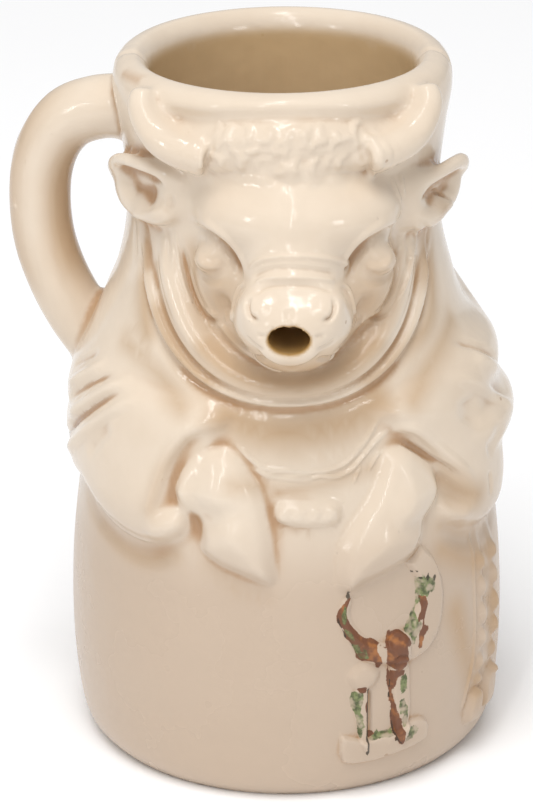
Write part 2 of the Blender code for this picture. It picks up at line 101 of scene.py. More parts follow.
def rows(table, columns):
    """The rows of a table written out flat."""
    return zip(*(table[i::columns] for i in range(columns)))


PROFILE = smooth_path([
    (0, FOOT), (2.5, 0.48 * FOOT + 0.52 * BELLY), (8, 0.2 * FOOT + 0.8 * BELLY), (22, BELLY),
    (40, 0.8 * BELLY + 0.2 * WAIST), (60, WAIST), (78, 0.7 * WAIST + 0.3 * NECK),
    (92, 0.4 * WAIST + 0.6 * NECK), (104, 0.08 * WAIST + 0.92 * NECK), (115, NECK),
    (127, 0.5 * NECK + 0.5 * RIM), (134.5, RIM), (138.3, RIM - 0.7)])


def jug_radius(height):
    """Radius of the plain jug at a height."""
    return np.interp(height, PROFILE[:, 0], PROFILE[:, 1])


def polar(azimuth, height, radius):
    """A point from its azimuth, height and radius."""
    angle = math.radians(azimuth)
    return Vector((radius * math.sin(angle), -radius * math.cos(angle), height)) * STEP


def on_jug(azimuth, height, out):
    """A point that stands out from the plain jug by so many steps."""
    return polar(azimuth, height, float(jug_radius(height)) + out)


# The head is set a little to the figure's left and looks a little to its right
HEAD_TURN = -3.0
HEAD_SHIFT = 3.6
HEAD_FRAME = Matrix.Rotation(math.radians(HEAD_TURN), 3, 'Z')


def on_head(lateral, out, height):
    """A point on the head, so many steps to the side and in front of the neck."""
    return HEAD_FRAME @ (Vector((lateral + HEAD_SHIFT, -(NECK + out), height)) * STEP)


def ramp(value):
    """A smooth rise from 0 to 1."""
    value = np.clip(value, 0, 1)
    return value * value * (3 - 2 * value)


# Clay: primitives that are joined and fused into one skin

def deselect():
    bpy.ops.object.select_all(action='DESELECT')


def pick(*things):
    """Selects some objects alone, the first of them as the active one."""
    deselect()
    for thing in things:
        thing.select_set(True)
    bpy.context.view_layer.objects.active = things[0]


def placed(name, data):
    """A new object in the scene, picked."""
    thing = bpy.data.objects.new(name, data)
    bpy.context.scene.collection.objects.link(thing)
    pick(thing)
    return thing


def edit_all():
    """Opens the picked object in edit mode with all of it selected."""
    bpy.ops.object.mode_set(mode='EDIT')
    bpy.ops.mesh.select_all(action='SELECT')


def ball(centre, radii, turn=0.0, nod=0.0, roll=0.0):
    """An ellipsoid of clay, rolled about Y, nodded about X and turned about Z."""
    tilt = (Matrix.Rotation(math.radians(turn), 3, 'Z') @ Matrix.Rotation(math.radians(nod), 3, 'X')
            @ Matrix.Rotation(math.radians(roll), 3, 'Y'))
    deselect()
    bpy.ops.mesh.primitive_uv_sphere_add(segments=48, ring_count=32, radius=STEP, location=centre,
                                         rotation=tilt.to_euler(), scale=radii)
    return bpy.context.object


def roll_of_clay(centres, radii):
    """A round roll of clay along a line of points, with a radius at each."""
    line = bpy.data.curves.new("roll", 'CURVE')
    line.dimensions = '3D'
    line.bevel_depth = STEP
    line.bevel_resolution = 6
    line.use_fill_caps = True
    spline = line.splines.new('POLY')
    spline.points.add(len(centres) - 1)
    for point, centre, radius in zip(spline.points, centres, radii):
        point.co = (*centre, 1.0)
        point.radius = radius
    placed("roll", line)
    bpy.ops.object.convert(target='MESH')
    return bpy.context.object


def thrown(name, outline):
    """A turned form from (height, radius) pairs, closed on the axis."""
    points = [(0, outline[0][0])] + [(radius, height) for height, radius in outline] + [(0, outline[-1][0])]
    mesh = bpy.data.meshes.new(name)
    mesh.from_pydata([(x * STEP, 0, z * STEP) for x, z in points],
                     [(i, i + 1) for i in range(len(points) - 1)], [])
    thing = placed(name, mesh)
    edit_all()
    bpy.ops.mesh.spin(steps=96, angle=2 * math.pi, center=(0, 0, 0), axis=(0, 0, 1))
    bpy.ops.mesh.select_all(action='SELECT')
    bpy.ops.mesh.remove_doubles(threshold=0.01 * STEP)
    bpy.ops.mesh.normals_make_consistent(inside=False)
    bpy.ops.object.mode_set(mode='OBJECT')
    return thing


def joined(things, name):
    """Several lumps as one object at the origin."""
    pick(*things)
    bpy.ops.object.transform_apply(location=True, rotation=True, scale=True)
    bpy.ops.object.join()
    things[0].name = name
    return things[0]


def apply_modifiers(thing):
    pick(thing)
    for modifier in list(thing.modifiers):
        bpy.ops.object.modifier_apply(modifier=modifier.name)


def smoother(thing, name, rounds):
    """A modifier that evens out the skin, round after round."""
    even = thing.modifiers.new(name, 'SMOOTH')
    even.factor = 0.5
    even.iterations = rounds
    return even


def fuse(thing, voxel, rounds):
    """Fuses an object's lumps into one skin and softens it."""
    remesh = thing.modifiers.new("fuse", 'REMESH')
    remesh.mode = 'VOXEL'
    remesh.voxel_size = voxel * STEP
    smoother(thing, "soften", rounds)
    apply_modifiers(thing)


def cut(thing, cutter):
    """Takes a cutter out of the clay."""
    boolean = thing.modifiers.new("cut", 'BOOLEAN')
    boolean.operation = 'DIFFERENCE'
    boolean.solver = 'EXACT'
    boolean.object = cutter
    apply_modifiers(thing)
    bpy.data.objects.remove(cutter)


# Carving: strokes on the skin

def distance_along(points, path):
    """Distance of points from a path, and the share of the way along it where they lie."""
    nearest = np.full(len(points), 1e9)
    share = np.zeros(len(points))
    spans = len(path) - 1
    for i in range(spans):
        step = path[i + 1] - path[i]
        t = np.clip(((points - path[i]) @ step) / max(step @ step, 1e-9), 0, 1)
        away = np.linalg.norm(points - path[i] - t[:, None] * step, axis=1)
        closer = away < nearest
        nearest[closer] = away[closer]
        share[closer] = (i + t[closer]) / spans
    return nearest, share


def depth_inside(points, path):
    """Depth of flat points inside a closed outline, negative outside it."""
    within = np.zeros(len(points), bool)
    for (ax, ay), (bx, by) in zip(path, np.roll(path, -1, axis=0)):
        if ay == by:
            continue
        crosses = (ay > points[:, 1]) != (by > points[:, 1])
        within ^= crosses & (points[:, 0] < ax + (points[:, 1] - ay) * (bx - ax) / (by - ay))
    distance, _ = distance_along(points, np.vstack([path, path[:1]]))
    return np.where(within, distance, -distance)


def ridge(distance, share, width, rise, taper):
    """The height of a rounded ridge at a distance from its line, tapered over a share of it at each end."""
    section = np.where(distance < width, 0.5 + 0.5 * np.cos(math.pi * distance / width), 0)
    return rise * section * ramp(np.minimum(share, 1 - share) / taper)


def rounded(share):
    """The height of a rolled edge, so far across it."""
    return np.sin(np.clip(share, 0, 1) * math.pi / 2) ** 1.3


def steps_across(points, closed=True):
    """Steps to a degree, and to a step of height, on the skin at the mean height of a path."""
    middle = np.mean(smooth_path(points, 6, closed)[:, 1])
    return np.array([math.radians(1) * float(jug_radius(middle) + 2), 1.0])


# Where lines that are cast on the figure start: round it, and in front of the neck
AROUND = 90
BEFORE_FACE = 50
# How far in from its rolled edge a pad's crown rises
CROWN_SPREAD = 4.0


class Skin:
    """The clay's outer skin: where each point lies, which way it faces, and how far strokes move it."""

    def __init__(self, thing):
        self.thing = thing
        self.read()

    def read(self):
        mesh = self.thing.data
        count = len(mesh.vertices)
        flat = np.empty(count * 3, np.float32)
        mesh.vertices.foreach_get("co", flat)
        self.points = flat.reshape(-1, 3).astype(float) / STEP
        mesh.vertex_normals.foreach_get("vector", flat)
        self.facing = flat.reshape(-1, 3).astype(float)
        self.azimuth = np.degrees(np.arctan2(self.points[:, 0], -self.points[:, 1]))
        self.height = self.points[:, 2].copy()
        self.radius = np.hypot(self.points[:, 0], self.points[:, 1])
        outward = self.points[:, :2] / np.maximum(self.radius, 1e-6)[:, None]
        self.outward = np.hstack([outward, np.zeros((count, 1))])
        plain = jug_radius(self.height)
        self.outer = (self.radius > plain - 2.5) & (self.radius < plain + 9.5)
        self.moved = np.zeros((count, 3))
        self.tree = None

    def press(self):
        """Moves the points by what the strokes added, and reads the new skin."""
        self.points += self.moved
        self.thing.data.vertices.foreach_set("co", (self.points * STEP).astype(np.float32).ravel())
        self.thing.data.update()
        self.read()

    def cast(self, start, ahead):
        """Where a straight line first meets the skin."""
        if self.tree is None:
            self.tree = surface_of(self.thing)
        hit, _, _, _ = self.tree.ray_cast(start, ahead)
        return None if hit is None else np.array(hit) / STEP

    def on_side(self, azimuth, height):
        """The outermost point of the skin at an azimuth and a height."""
        start = polar(azimuth, height, AROUND)
        return self.cast(start, -Vector((start.x, start.y, 0)).normalized())

    def from_side(self, points, pieces=6):
        """A path of (azimuth, height) laid on the skin."""
        hits = [self.on_side(azimuth, height) for azimuth, height in smooth_path(points, pieces)]
        return np.array([hit for hit in hits if hit is not None])

    def on_face(self, lateral, height):
        """The point of the face at a distance to the side and a height."""
        return self.cast(on_head(lateral, BEFORE_FACE, height), HEAD_FRAME @ Vector((0, 1, 0)))

    def from_front(self, points, side=1):
        """A path of (lateral, height) laid on the face, mirrored where the side is -1."""
        hits = [self.on_face(side * lateral, height) for lateral, height in smooth_path(points, 6)]
        return np.array([hit for hit in hits if hit is not None])

    def near(self, path, width):
        """Numbers of the points near a laid path, their distance from it and their share of the way."""
        close = np.all((self.points > path.min(0) - width) & (self.points < path.max(0) + width), axis=1)
        numbers = np.flatnonzero(close)
        distance, share = distance_along(self.points[numbers], path)
        return numbers, distance, share

    def stroke(self, path, width, rise, taper):
        """A rounded ridge along a laid path, or a groove where the rise is negative."""
        if len(path) < 2:
            return
        numbers, distance, share = self.near(path, width)
        self.moved[numbers] += self.facing[numbers] * ridge(distance, share, width, rise, taper)[:, None]

    def lines(self, table):
        """Strokes on the side, from a table of each one's path, half width, rise and taper."""
        for points, width, rise, taper in rows(table, 4):
            self.stroke(self.from_side(points), width, rise, taper)

    def dab(self, place, width, rise):
        """A round bump, or a pit where the rise is negative."""
        distance = np.linalg.norm(self.points - place, axis=1)
        numbers = np.flatnonzero(distance < width)
        section = 0.5 + 0.5 * np.cos(math.pi * distance[numbers] / width)
        self.moved[numbers] += self.facing[numbers] * (rise * section)[:, None]

    def flat(self, points, margin, closed):
        """Numbers of the outer points near a path of (azimuth, height), and both laid flat."""
        across = steps_across(points, closed)
        path = smooth_path(points, 6, closed) * across
        laid = np.stack([self.azimuth, self.height], 1) * across
        close = np.all((laid > path.min(0) - margin) & (laid < path.max(0) + margin), axis=1)
        numbers = np.flatnonzero(close & self.outer)
        return numbers, laid[numbers], path

    def band(self, points, width, rise, taper=0.15):
        """A ridge or groove pressed straight out of the jug."""
        numbers, laid, path = self.flat(points, width, False)
        distance, share = distance_along(laid, path)
        self.moved[numbers] += self.outward[numbers] * ridge(distance, share, width, rise, taper)[:, None]

    def pad(self, points, rise, edge, crown=0.0, over=False):
        """A raised patch with rolled edges, crowned towards its middle, or a hollow."""
        numbers, laid, path = self.flat(points, 0.0, True)
        depth = depth_inside(laid, path)
        rolled = rounded(depth / edge)
        hill = crown * (1 - np.exp(-np.clip(depth - edge, 0, None) / CROWN_SPREAD))
        lifted = np.where(depth > 0, (rise + hill) * rolled, 0)
        if over:
            lifted = np.maximum(0, lifted - np.linalg.norm(self.moved[numbers], axis=1))
        self.moved[numbers] += self.outward[numbers] * lifted[:, None]


def softened(thing, name, shares, rounds):
    """Evens out the skin where the shares say so."""
    group = thing.vertex_groups.new(name=name)
    for step in range(1, 5):
        chosen = np.flatnonzero(np.rint(shares * 4) == step)
        group.add(chosen.tolist(), step / 4, 'REPLACE')
    smoother(thing, name, rounds).vertex_group = name
    apply_modifiers(thing)
    thing.vertex_groups.clear()


def surface_of(thing):
    """The surface of an object, for casting lines on it and measuring distances from it."""
    bpy.context.view_layer.update()
    return BVHTree.FromObject(thing, bpy.context.evaluated_depsgraph_get())


def refined(thing, faces):
    """Doubles the fineness of the chosen faces."""
    pick(thing)
    bpy.context.tool_settings.mesh_select_mode = (False, False, True)
    bpy.ops.object.mode_set(mode='EDIT')
    bpy.ops.mesh.select_all(action='DESELECT')
    bpy.ops.object.mode_set(mode='OBJECT')
    thing.data.polygons.foreach_set("select", faces)
    bpy.ops.object.mode_set(mode='EDIT')
    bpy.ops.mesh.subdivide(number_cuts=1)
    bpy.ops.mesh.select_all(action='DESELECT')
    bpy.ops.object.mode_set(mode='OBJECT')


# The head: each lump's centre to the side, in front of the neck and above the foot, then its radii
SKULL = ((-1.6, -12.3, 116), (19.3, 18.8, 16.5))
BROW = ((0, -6.6, 116.4), (20.0, 15.6, 8.6))
BRIDGE = ((0, 0.9, 111.5), (9.7, 9, 18.5))
BRIDGE_SLOPE = 27.0
MUZZLE = ((0, 7.3, 99.6), (11.6, 11.0, 7.4))
CHIN = ((0, 6.4, 94), (8.6, 8.2, 5.0))
CHEEK = ((11.4, -6.0, 104.0), (7.6, 9.6, 10.5))
EYE = ((14.2, -1.5, 109.2), (5.5, 4.2, 3.4))
EYE_SLANT = 36.0
NOSTRIL_PAD = ((5.9, 10.6, 102.6), (4.6, 5.4, 4.0))
MOUTH_SIDE = -0.3
MOUTH_LEVEL = 98.7
LIP_ROLL = 1.6
LEAST_HOLLOW = 1.5


def head_lump(lump, side=1, slope=0.0, slant=0.0, inset=0.0):
    """One of the head's lumps, on one side, thinner all over by the inset."""
    (lateral, out, height), radii = lump
    radii = [max(radius - inset, LEAST_HOLLOW) for radius in radii]
    return ball(on_head(side * lateral, out, height), radii, HEAD_TURN, slope, slant)


def head_masses(inset=0.0):
    """Skull, bridge of the nose and muzzle."""
    return [head_lump(SKULL, inset=inset), head_lump(BRIDGE, slope=-BRIDGE_SLOPE, inset=inset),
            head_lump(MUZZLE, inset=inset)]


def jaws():
    """Brow, chin, cheeks and the pads of the nostrils."""
    lumps = [head_lump(BROW), head_lump(CHIN)]
    for side in (-1, 1):
        lumps += [head_lump(CHEEK, side), head_lump(NOSTRIL_PAD, side)]
    return lumps


def face_details():
    """Eyeballs and the roll of the lower lip."""
    lumps = [head_lump(EYE, side, slant=side * EYE_SLANT) for side in (-1, 1)]
    across = MOUTH_WIDTH / 2 + 0.8 * LIP_ROLL
    down = MOUTH_HEIGHT / 2 + 0.7 * LIP_ROLL
    lip = []
    for angle in np.linspace(math.pi, 2 * math.pi, 13):
        lip.append(on_head(MOUTH_SIDE + across * math.cos(angle), 16.3 + 0.7 * math.sin(angle),
                           MOUTH_LEVEL + down * math.sin(angle)))
    thickness = [0.5 + (LIP_ROLL - 0.3) * math.sin(math.pi * share) ** 0.6 for share in np.linspace(0, 1, 13)]
    lumps.append(roll_of_clay(lip, thickness))
    return lumps


HORN = ((26.5, 127.8, 0.3), (33, 128.8, 2), (40, 130.4, 2.6), (46, 133.2, 2.2), (50, 136.4, 1.6),
    (51, 138.8, 0.8))
HORN_SHIFT = {-1: 0.0, 1: 2.6}


def horns():
    """Two horns that curl up against the rim from beside the forelock."""
    line = smooth_path(HORN)
    thickness = [3.7 - 1.4 * share ** 1.3 for share in np.linspace(0, 1, len(line))]
    lumps = []
    for side in (-1, 1):
        centres = [on_jug(side * azimuth + HORN_SHIFT[side], height, out) for azimuth, height, out in line]
        lumps.append(roll_of_clay(centres, thickness))
    return lumps


# The ears, each with its own droop: leaf, rolled upper fold and lower lobe, as azimuth, height and out
EAR_LEAF = {-1: ((38, 118.4, -1.0), (50, 117.9, 0.6), (61, 117.4, 1.4), (71, 117.0, 1.6), (78.5, 117.4, 1.3)),
            1: ((38, 117.2, -1.0), (50, 116.2, 0.7), (62, 115.6, 1.9), (73, 115.6, 2.9), (80.5, 116.6, 3.3))}
EAR_FOLD = {-1: ((36, 121.8, 0.2), (45, 123.2, 1.6), (54, 124.0, 2.6), (62, 123.4, 3.1), (70, 121.4, 3.0),
                 (77, 118.8, 2.1)),
            1: ((44, 118.4, 0.6), (53, 119.4, 1.7), (61, 120.2, 2.8), (69, 120.8, 3.7), (76, 120.2, 4.3),
                (82, 118.4, 4.1))}
EAR_LOBE = {-1: ((53, 115.2, 1.2), (7.6, 2.8, 3.4)), 1: ((59, 112.9, 1.6), (6.8, 2.9, 3.4))}


def ears():
    """Two leaf-shaped ears that stand out sideways below the horns."""
    lumps = []
    for side in (-1, 1):
        line = smooth_path(EAR_LEAF[side], 5)
        for share, (azimuth, height, out) in zip(np.linspace(0, 1, len(line)), line):
            swell = math.sin(math.pi * min(1.0, 0.28 + 0.72 * share)) ** 0.7
            lumps.append(ball(on_jug(side * azimuth, height, out),
                              (2.4, 0.8 + 1.8 * swell, 1.0 + 5.0 * swell), side * azimuth))
        fold = smooth_path(EAR_FOLD[side])
        lumps.append(roll_of_clay([on_jug(side * azimuth, height, out) for azimuth, height, out in fold],
                                  [1.1 + 0.7 * share for share in np.linspace(0, 1, len(fold))]))
        (azimuth, height, out), radii = EAR_LOBE[side]
        lumps.append(ball(on_jug(side * azimuth, height, out), radii, side * azimuth))
    return lumps


def handle():
    """A round handle that springs from the neck and lands on the shoulder."""
    half = HANDLE / 2
    reach = NECK + FINGER_GAP + half
    line = smooth_path([
        (125.6, 27), (126.8, 33), (126.2, reach - 11.6), (124.1, reach - 6.6), (119.6, reach - 2.8),
        (113.5, reach - 0.6), (106.2, reach), (98.9, reach - 0.7), (92.1, reach - 2.8), (86, reach - 5.7),
        (81, reach - 9), (76.5, reach - 13)])
    centres = [polar(HANDLE_AZIMUTH, height, radius) for height, radius in line]
    thickness = [half + 0.5 * share ** 6 for share in np.linspace(0, 1, len(line))]
    return [roll_of_clay(centres, thickness)]


# How far each arm stands out from the jug at the elbow: height and rise
RIGHT_HAND_ARM = ((56, 0), (58.5, 2.2), (62, 3.2), (66, 4.3), (69, 3.9), (72, 4.9), (77.5, 4.4), (82.5, 3),
    (88, 1.6), (97, 0))
LEFT_HAND_ARM = ((54, 0), (57, 1.8), (62, 3.2), (66.5, 6), (70, 6.6), (74, 4.2), (79.5, 5.4), (83.5, 4.5),
    (88, 1), (93, 0), (98, 0))


def shoulders(skin):
    """The bent arms' mass under the shawl, fullest at the elbows, rising to the back behind them."""
    for side, elbow, outline in ((-1, 90.0, RIGHT_HAND_ARM), (1, 86.0, LEFT_HAND_ARM)):
        section = smooth_path(outline, 4)
        turn = skin.azimuth * side - elbow
        across = ramp((50 + turn) / 36) * ramp((50 - turn) / 40)
        height = skin.height - 20 * ramp((turn - 12) / 40)
        rise = np.interp(height, section[:, 0], section[:, 1])
        skin.moved += skin.outward * np.where(skin.outer, rise * across, 0)[:, None]


LEFT_SLEEVE = ((-84, 58.6), (-68, 56), (-58, 53.6), (-47, 52), (-38, 51.6), (-29, 53.2), (-25, 58),
    (-24, 68), (-17, 76), (-15.5, 79.5), (-25, 82.5), (-40, 82), (-60, 84), (-84, 84))
LEFT_HOLLOW = ((-36, 59), (-34.6, 64), (-31.8, 70.4), (-28, 75.4), (-20, 77.6), (-18, 75.4), (-24, 72),
    (-27, 66), (-27, 60.4), (-31, 59))
LEFT_HOOF = ((-20, 73.8), (-26.5, 70.6), (-30.4, 66), (-30.4, 63), (-27.6, 60.2), (-23.6, 56),
    (-23.2, 52.6), (-18.6, 50.1), (-13, 48.5), (-5, 46.7), (-2.2, 47.8), (-2.6, 53), (-3.6, 59),
    (-6.1, 65.4), (-8.8, 68.8), (-13.1, 72.4))
RIGHT_SLEEVE = ((26, 79.4), (34, 82), (46, 84), (66, 86), (88, 86), (88, 60), (80, 51), (68, 48.8),
    (56, 50), (47, 52.6), (42, 56), (44, 61), (42, 68), (34, 73.5))
RIGHT_HOLLOW = ((43, 66.8), (47, 65.4), (51.4, 62), (55, 58.4), (56, 55.4), (50, 54.6), (45.4, 57),
    (44, 61))
RIGHT_HOOF = ((36, 71.6), (29, 71.4), (26.4, 68), (22.8, 63.2), (17.4, 58.5), (13.8, 54.2), (12.6, 49.4),
    (13.4, 45.4), (16.8, 44.2), (21, 45.6), (30.4, 47.6), (36, 49.6), (39.4, 52.4), (41.2, 55.6),
    (45.2, 59.4), (46.4, 62.2), (43.4, 66.8))

# Folds of the sleeves and edges of the cuffs: path, half width, rise and taper
SLEEVE_FOLDS = (
    ((-88, 58.4), (-77.3, 62), (-65.5, 68.4), (-55.7, 74.4), (-48.8, 78), (-42.8, 80.2)), 2, 0.9, 0.3,
    ((-88, 61.4), (-78.8, 65.4), (-67.5, 71.4), (-58, 76.8), (-50, 80.8)), 1.5, -0.8, 0.3,
    ((-86, 65.6), (-76.2, 69.4), (-69, 73), (-62, 77), (-54.8, 80.4), (-49, 82.4)), 2, 0.9, 0.3,
    ((-80, 71), (-72, 75.4), (-64, 79.4), (-56, 82.6)), 1.4, -0.7, 0.3,
    ((-84, 73.2), (-76.6, 76.4), (-68.8, 80.4), (-62, 83.4)), 1.8, 0.8, 0.3,
    ((-84, 77.6), (-76, 80.8), (-68, 84.4)), 1.4, -0.5, 0.3,
    ((-62, 65.2), (-56.5, 69.6), (-52, 74)), 2.6, -0.5, 0.3,
    ((57.4, 77.6), (57, 74.6), (55, 71.6)), 5, -0.7, 0.3,
    ((50.8, 82), (58.4, 80.4), (66.6, 76.6), (76.2, 71.4), (84, 68)), 2.2, 0.7, 0.3,
    ((69, 69.6), (66, 66.4), (62, 64.6)), 3.4, -0.6, 0.3,
    ((60, 87.2), (70.2, 84), (80, 78.8)), 1.7, -0.7, 0.3,
    ((64, 83.6), (70.6, 81), (80, 76.4)), 2.2, 0.7, 0.3,
    ((63.2, 61), (64, 58), (63.8, 54.8)), 1.1, -0.5, 0.3,
    ((-20, 78.4), (-27, 76.2), (-31.8, 71.4), (-34.4, 66), (-36.4, 60.4), (-38.2, 56.6)), 2.2, 0.5, 0.25,
    ((-64, 56.2), (-57, 53.8), (-50, 52.4), (-42, 52), (-34.8, 52.6)), 0.7, 0.25, 0.2,
    ((31, 74.6), (35, 75), (39.4, 73.6), (43.6, 70.6), (48, 67.4), (53, 63.4), (57.4, 59.4)), 1.7, 0.6, 0.2,
    ((33, 72.4), (38, 70.4), (43, 67.6), (48, 64.6), (53, 60.8)), 1.2, -0.7, 0.25)


def sleeves(skin):
    """Wide sleeves with turned cuffs."""
    skin.pad(LEFT_SLEEVE, 2.9, 3.4, 1.6, over=True)
    skin.pad(RIGHT_SLEEVE, 2.8, 3.4, 1.6, over=True)
    skin.press()
    skin.pad(LEFT_HOLLOW, -2.6, 4.2)
    skin.pad(RIGHT_HOLLOW, -3.2, 4.0)
    skin.press()
    skin.band([(-39, 55.2), (-34.5, 55.8), (-29.4, 57.4), (-26.8, 58.2)], 2.4, 1.3, 0.3)
    skin.band([(45, 55.4), (50.5, 55.2), (56, 54.6)], 2.2, 1.0, 0.3)
    for below in (((-74, 55.0), (-64, 51.6), (-54, 49.6), (-45, 48.6), (-36, 49.4), (-29, 51.8)),
                  ((45.4, 53.0), (52, 49.0), (60, 46.8), (70, 46.2), (80, 47.8))):
        skin.band(below, 3.0, -0.9, 0.2)
    skin.press()


def sleeve_folds(skin):
    """The folds at the elbows and shoulders, and the edges of the cuffs."""
    skin.lines(SLEEVE_FOLDS)
    skin.press()


def hooves(skin):
    """The hooves that come out of the sleeves: each a fist above and a toe below."""
    skin.pad(LEFT_HOOF, 2.8, 4.0, 2.2)
    skin.pad(RIGHT_HOOF, 2.9, 4.0, 2.2)
    skin.press()
    skin.band([(-29, 56.6), (-22, 59.4), (-15, 61.0), (-8, 61.6)], 4.2, -1.1, 0.4)
    skin.band([(45, 55.6), (38, 56.0), (30, 56.6), (23, 58.6)], 3.6, -0.8, 0.4)
    skin.press()


def hoof_lines(skin):
    """The groove of the hoof that holds the keys."""
    skin.lines((((40.6, 54.6), (37.4, 52.8), (33.6, 52.4)), 1.4, -0.3, 0.45))
    skin.press()


COLLAR_MIDDLE = 1.5
COLLAR_LOOPS = ((68, 107.5, 80.2, 1.8, -0.7), (64, 107.5, 82, 1.7, 1.1), (52.5, 110.5, 85.2, 4, 1.9),
    (45, 112, 87.6, 2, -0.9))
COLLAR_LINES = ((66.5, 108, 81, 0.9, -0.2), (60.5, 108.5, 82.8, 1.2, -0.45), (57.5, 109.5, 84, 0.9, 0.25),
    (42.5, 112.4, 88.4, 0.9, -0.25), (39.5, 113, 89.4, 0.8, 0.2))
# How squarely the loops of the collar hang
COLLAR_BOW = 2.3
# Creases of the neck below the ears
NECK_CREASES = (
    ((-61.3, 112), (-57.3, 107.6), (-54.4, 103)), 1.2, -0.35, 0.35,
    ((-70.5, 110.6), (-67, 105.4), (-63.4, 101.6)), 1.2, -0.35, 0.35,
    ((66.6, 109.5), (61.6, 104.6), (58.6, 100.1)), 1.2, -0.35, 0.35,
    ((-46.4, 112.6), (-44.6, 107.6), (-41.4, 102.6)), 1.2, -0.35, 0.35,
    ((50.4, 111.6), (48.4, 107), (44.6, 102.2)), 1.2, -0.35, 0.35)


def loop_of_collar(half_turn, top, bottom):
    """Azimuths and heights along a loop that hangs from ear to ear."""
    return [(COLLAR_MIDDLE + half_turn * across, top - (1 - abs(across) ** COLLAR_BOW) * (top - bottom))
            for across in np.linspace(-1, 1, 9)]


def collar(skin):
    """Two rolls of the shawl's collar, and the grooves beside them."""
    for half_turn, top, bottom, width, rise in COLLAR_LOOPS:
        skin.band(loop_of_collar(half_turn, top, bottom), width, rise, 0.08)
    skin.press()


def collar_lines(skin):
    """The thin lines along the collar's rolls, and the creases of the neck below the ears."""
    for half_turn, top, bottom, width, rise in COLLAR_LINES:
        skin.stroke(skin.from_side(loop_of_collar(half_turn, top, bottom), 8), width, rise, 0.1)
    skin.lines(NECK_CREASES)
    skin.press()


FORELOCK = ((-27, 131.2), (-19, 134.2), (-8, 135.2), (3, 135.6), (14, 135.4), (24, 134.2), (32.5, 131.2),
    (32, 125.4), (24, 124.8), (13, 125), (3, 124.2), (-8, 125.6), (-18, 125.4), (-26.5, 125.2))
FORELOCK_PUFFS = ((-21, 126.8), (-13.5, 127.2), (-6, 126.6), (2, 127), (9.5, 126.6), (17, 127), (25, 126.8))
CURL_ROWS = ((133.4, 0.0), (130.6, 2.6), (127.8, 0.6))
CURL_SPACING = 5.2
LOCKS = (
    ((-25.4, 134), (-27.4, 130.6), (-27.2, 127.2), (-24.8, 124), (-21, 121.8)), 1.5, 0.25, 0.25,
    ((-22.6, 133), (-24.6, 129.6), (-24.2, 126.4), (-21.2, 124)), 1.2, 0.2, 0.25,
    ((-28.8, 131), (-29.4, 127.6), (-27.6, 124.2), (-24, 121.4)), 0.9, 0.15, 0.25,
    ((28.6, 134.2), (31.6, 131), (32.4, 127.4), (31, 124), (27.6, 122.4)), 1.5, 0.3, 0.25,
    ((25.6, 133.4), (28.8, 130.4), (29.4, 127), (27.6, 124.4)), 1.2, 0.2, 0.25,
    ((32.4, 132.6), (34.6, 129.4), (34.4, 126), (32.2, 123)), 0.9, 0.15, 0.25,
    ((-20, 126), (-14, 125), (-8, 125.4), (-3, 124.2)), 2.0, 0.35, 0.25,
    ((5, 124), (11, 125.2), (17, 124.6), (23, 124.6)), 2.0, 0.35, 0.25)


def forelock(skin):
    """The mass of the forelock under the rim, and the hollow band above it."""
    skin.band([(-46, 134.4), (-28, 134.8), (2, 136.2), (30, 134.8), (48, 134.4)], 3.0, -1.1)
    skin.press()
    skin.pad(FORELOCK, 1.7, 4.0, 1.2)
    skin.press()
    for azimuth, height in FORELOCK_PUFFS:
        skin.dab(skin.on_side(azimuth, height), 3.6, 0.75)
    skin.press()


def curls(skin):
    """Close curls of the forelock and the twisted locks at both its ends."""
    spread = np.random.default_rng(11)
    for height, shift in CURL_ROWS:
        for azimuth in np.arange(-22 + shift, 29, CURL_SPACING):
            azimuth += spread.uniform(-0.9, 0.9)
            level = height + spread.uniform(-0.5, 0.5)
            turn = spread.uniform(0, 2 * math.pi)
            size = spread.uniform(0.8, 1.25)
            arc = [(azimuth + 1.75 * size * math.cos(turn + a), level + size * math.sin(turn + a))
                   for a in np.linspace(0, 4.4, 5)]
            skin.stroke(skin.from_side(arc, 3), 1.35, spread.uniform(0.25, 0.45), 0.3)
    skin.lines(LOCKS)
    skin.press()


EAR_CUPS = (
    ((-42, 119.4), (-48, 119.2), (-55, 119.4), (-62, 119.4), (-69, 118.8)), 4.4, -2.2, 0.35,
    ((-45, 117.2), (-52, 116.6), (-59, 116.4), (-66, 116.8)), 4.2, -1.7, 0.35,
    ((49, 115.2), (56, 116), (63, 116.2), (70, 116.2), (77, 116)), 4.2, -2.5, 0.35)
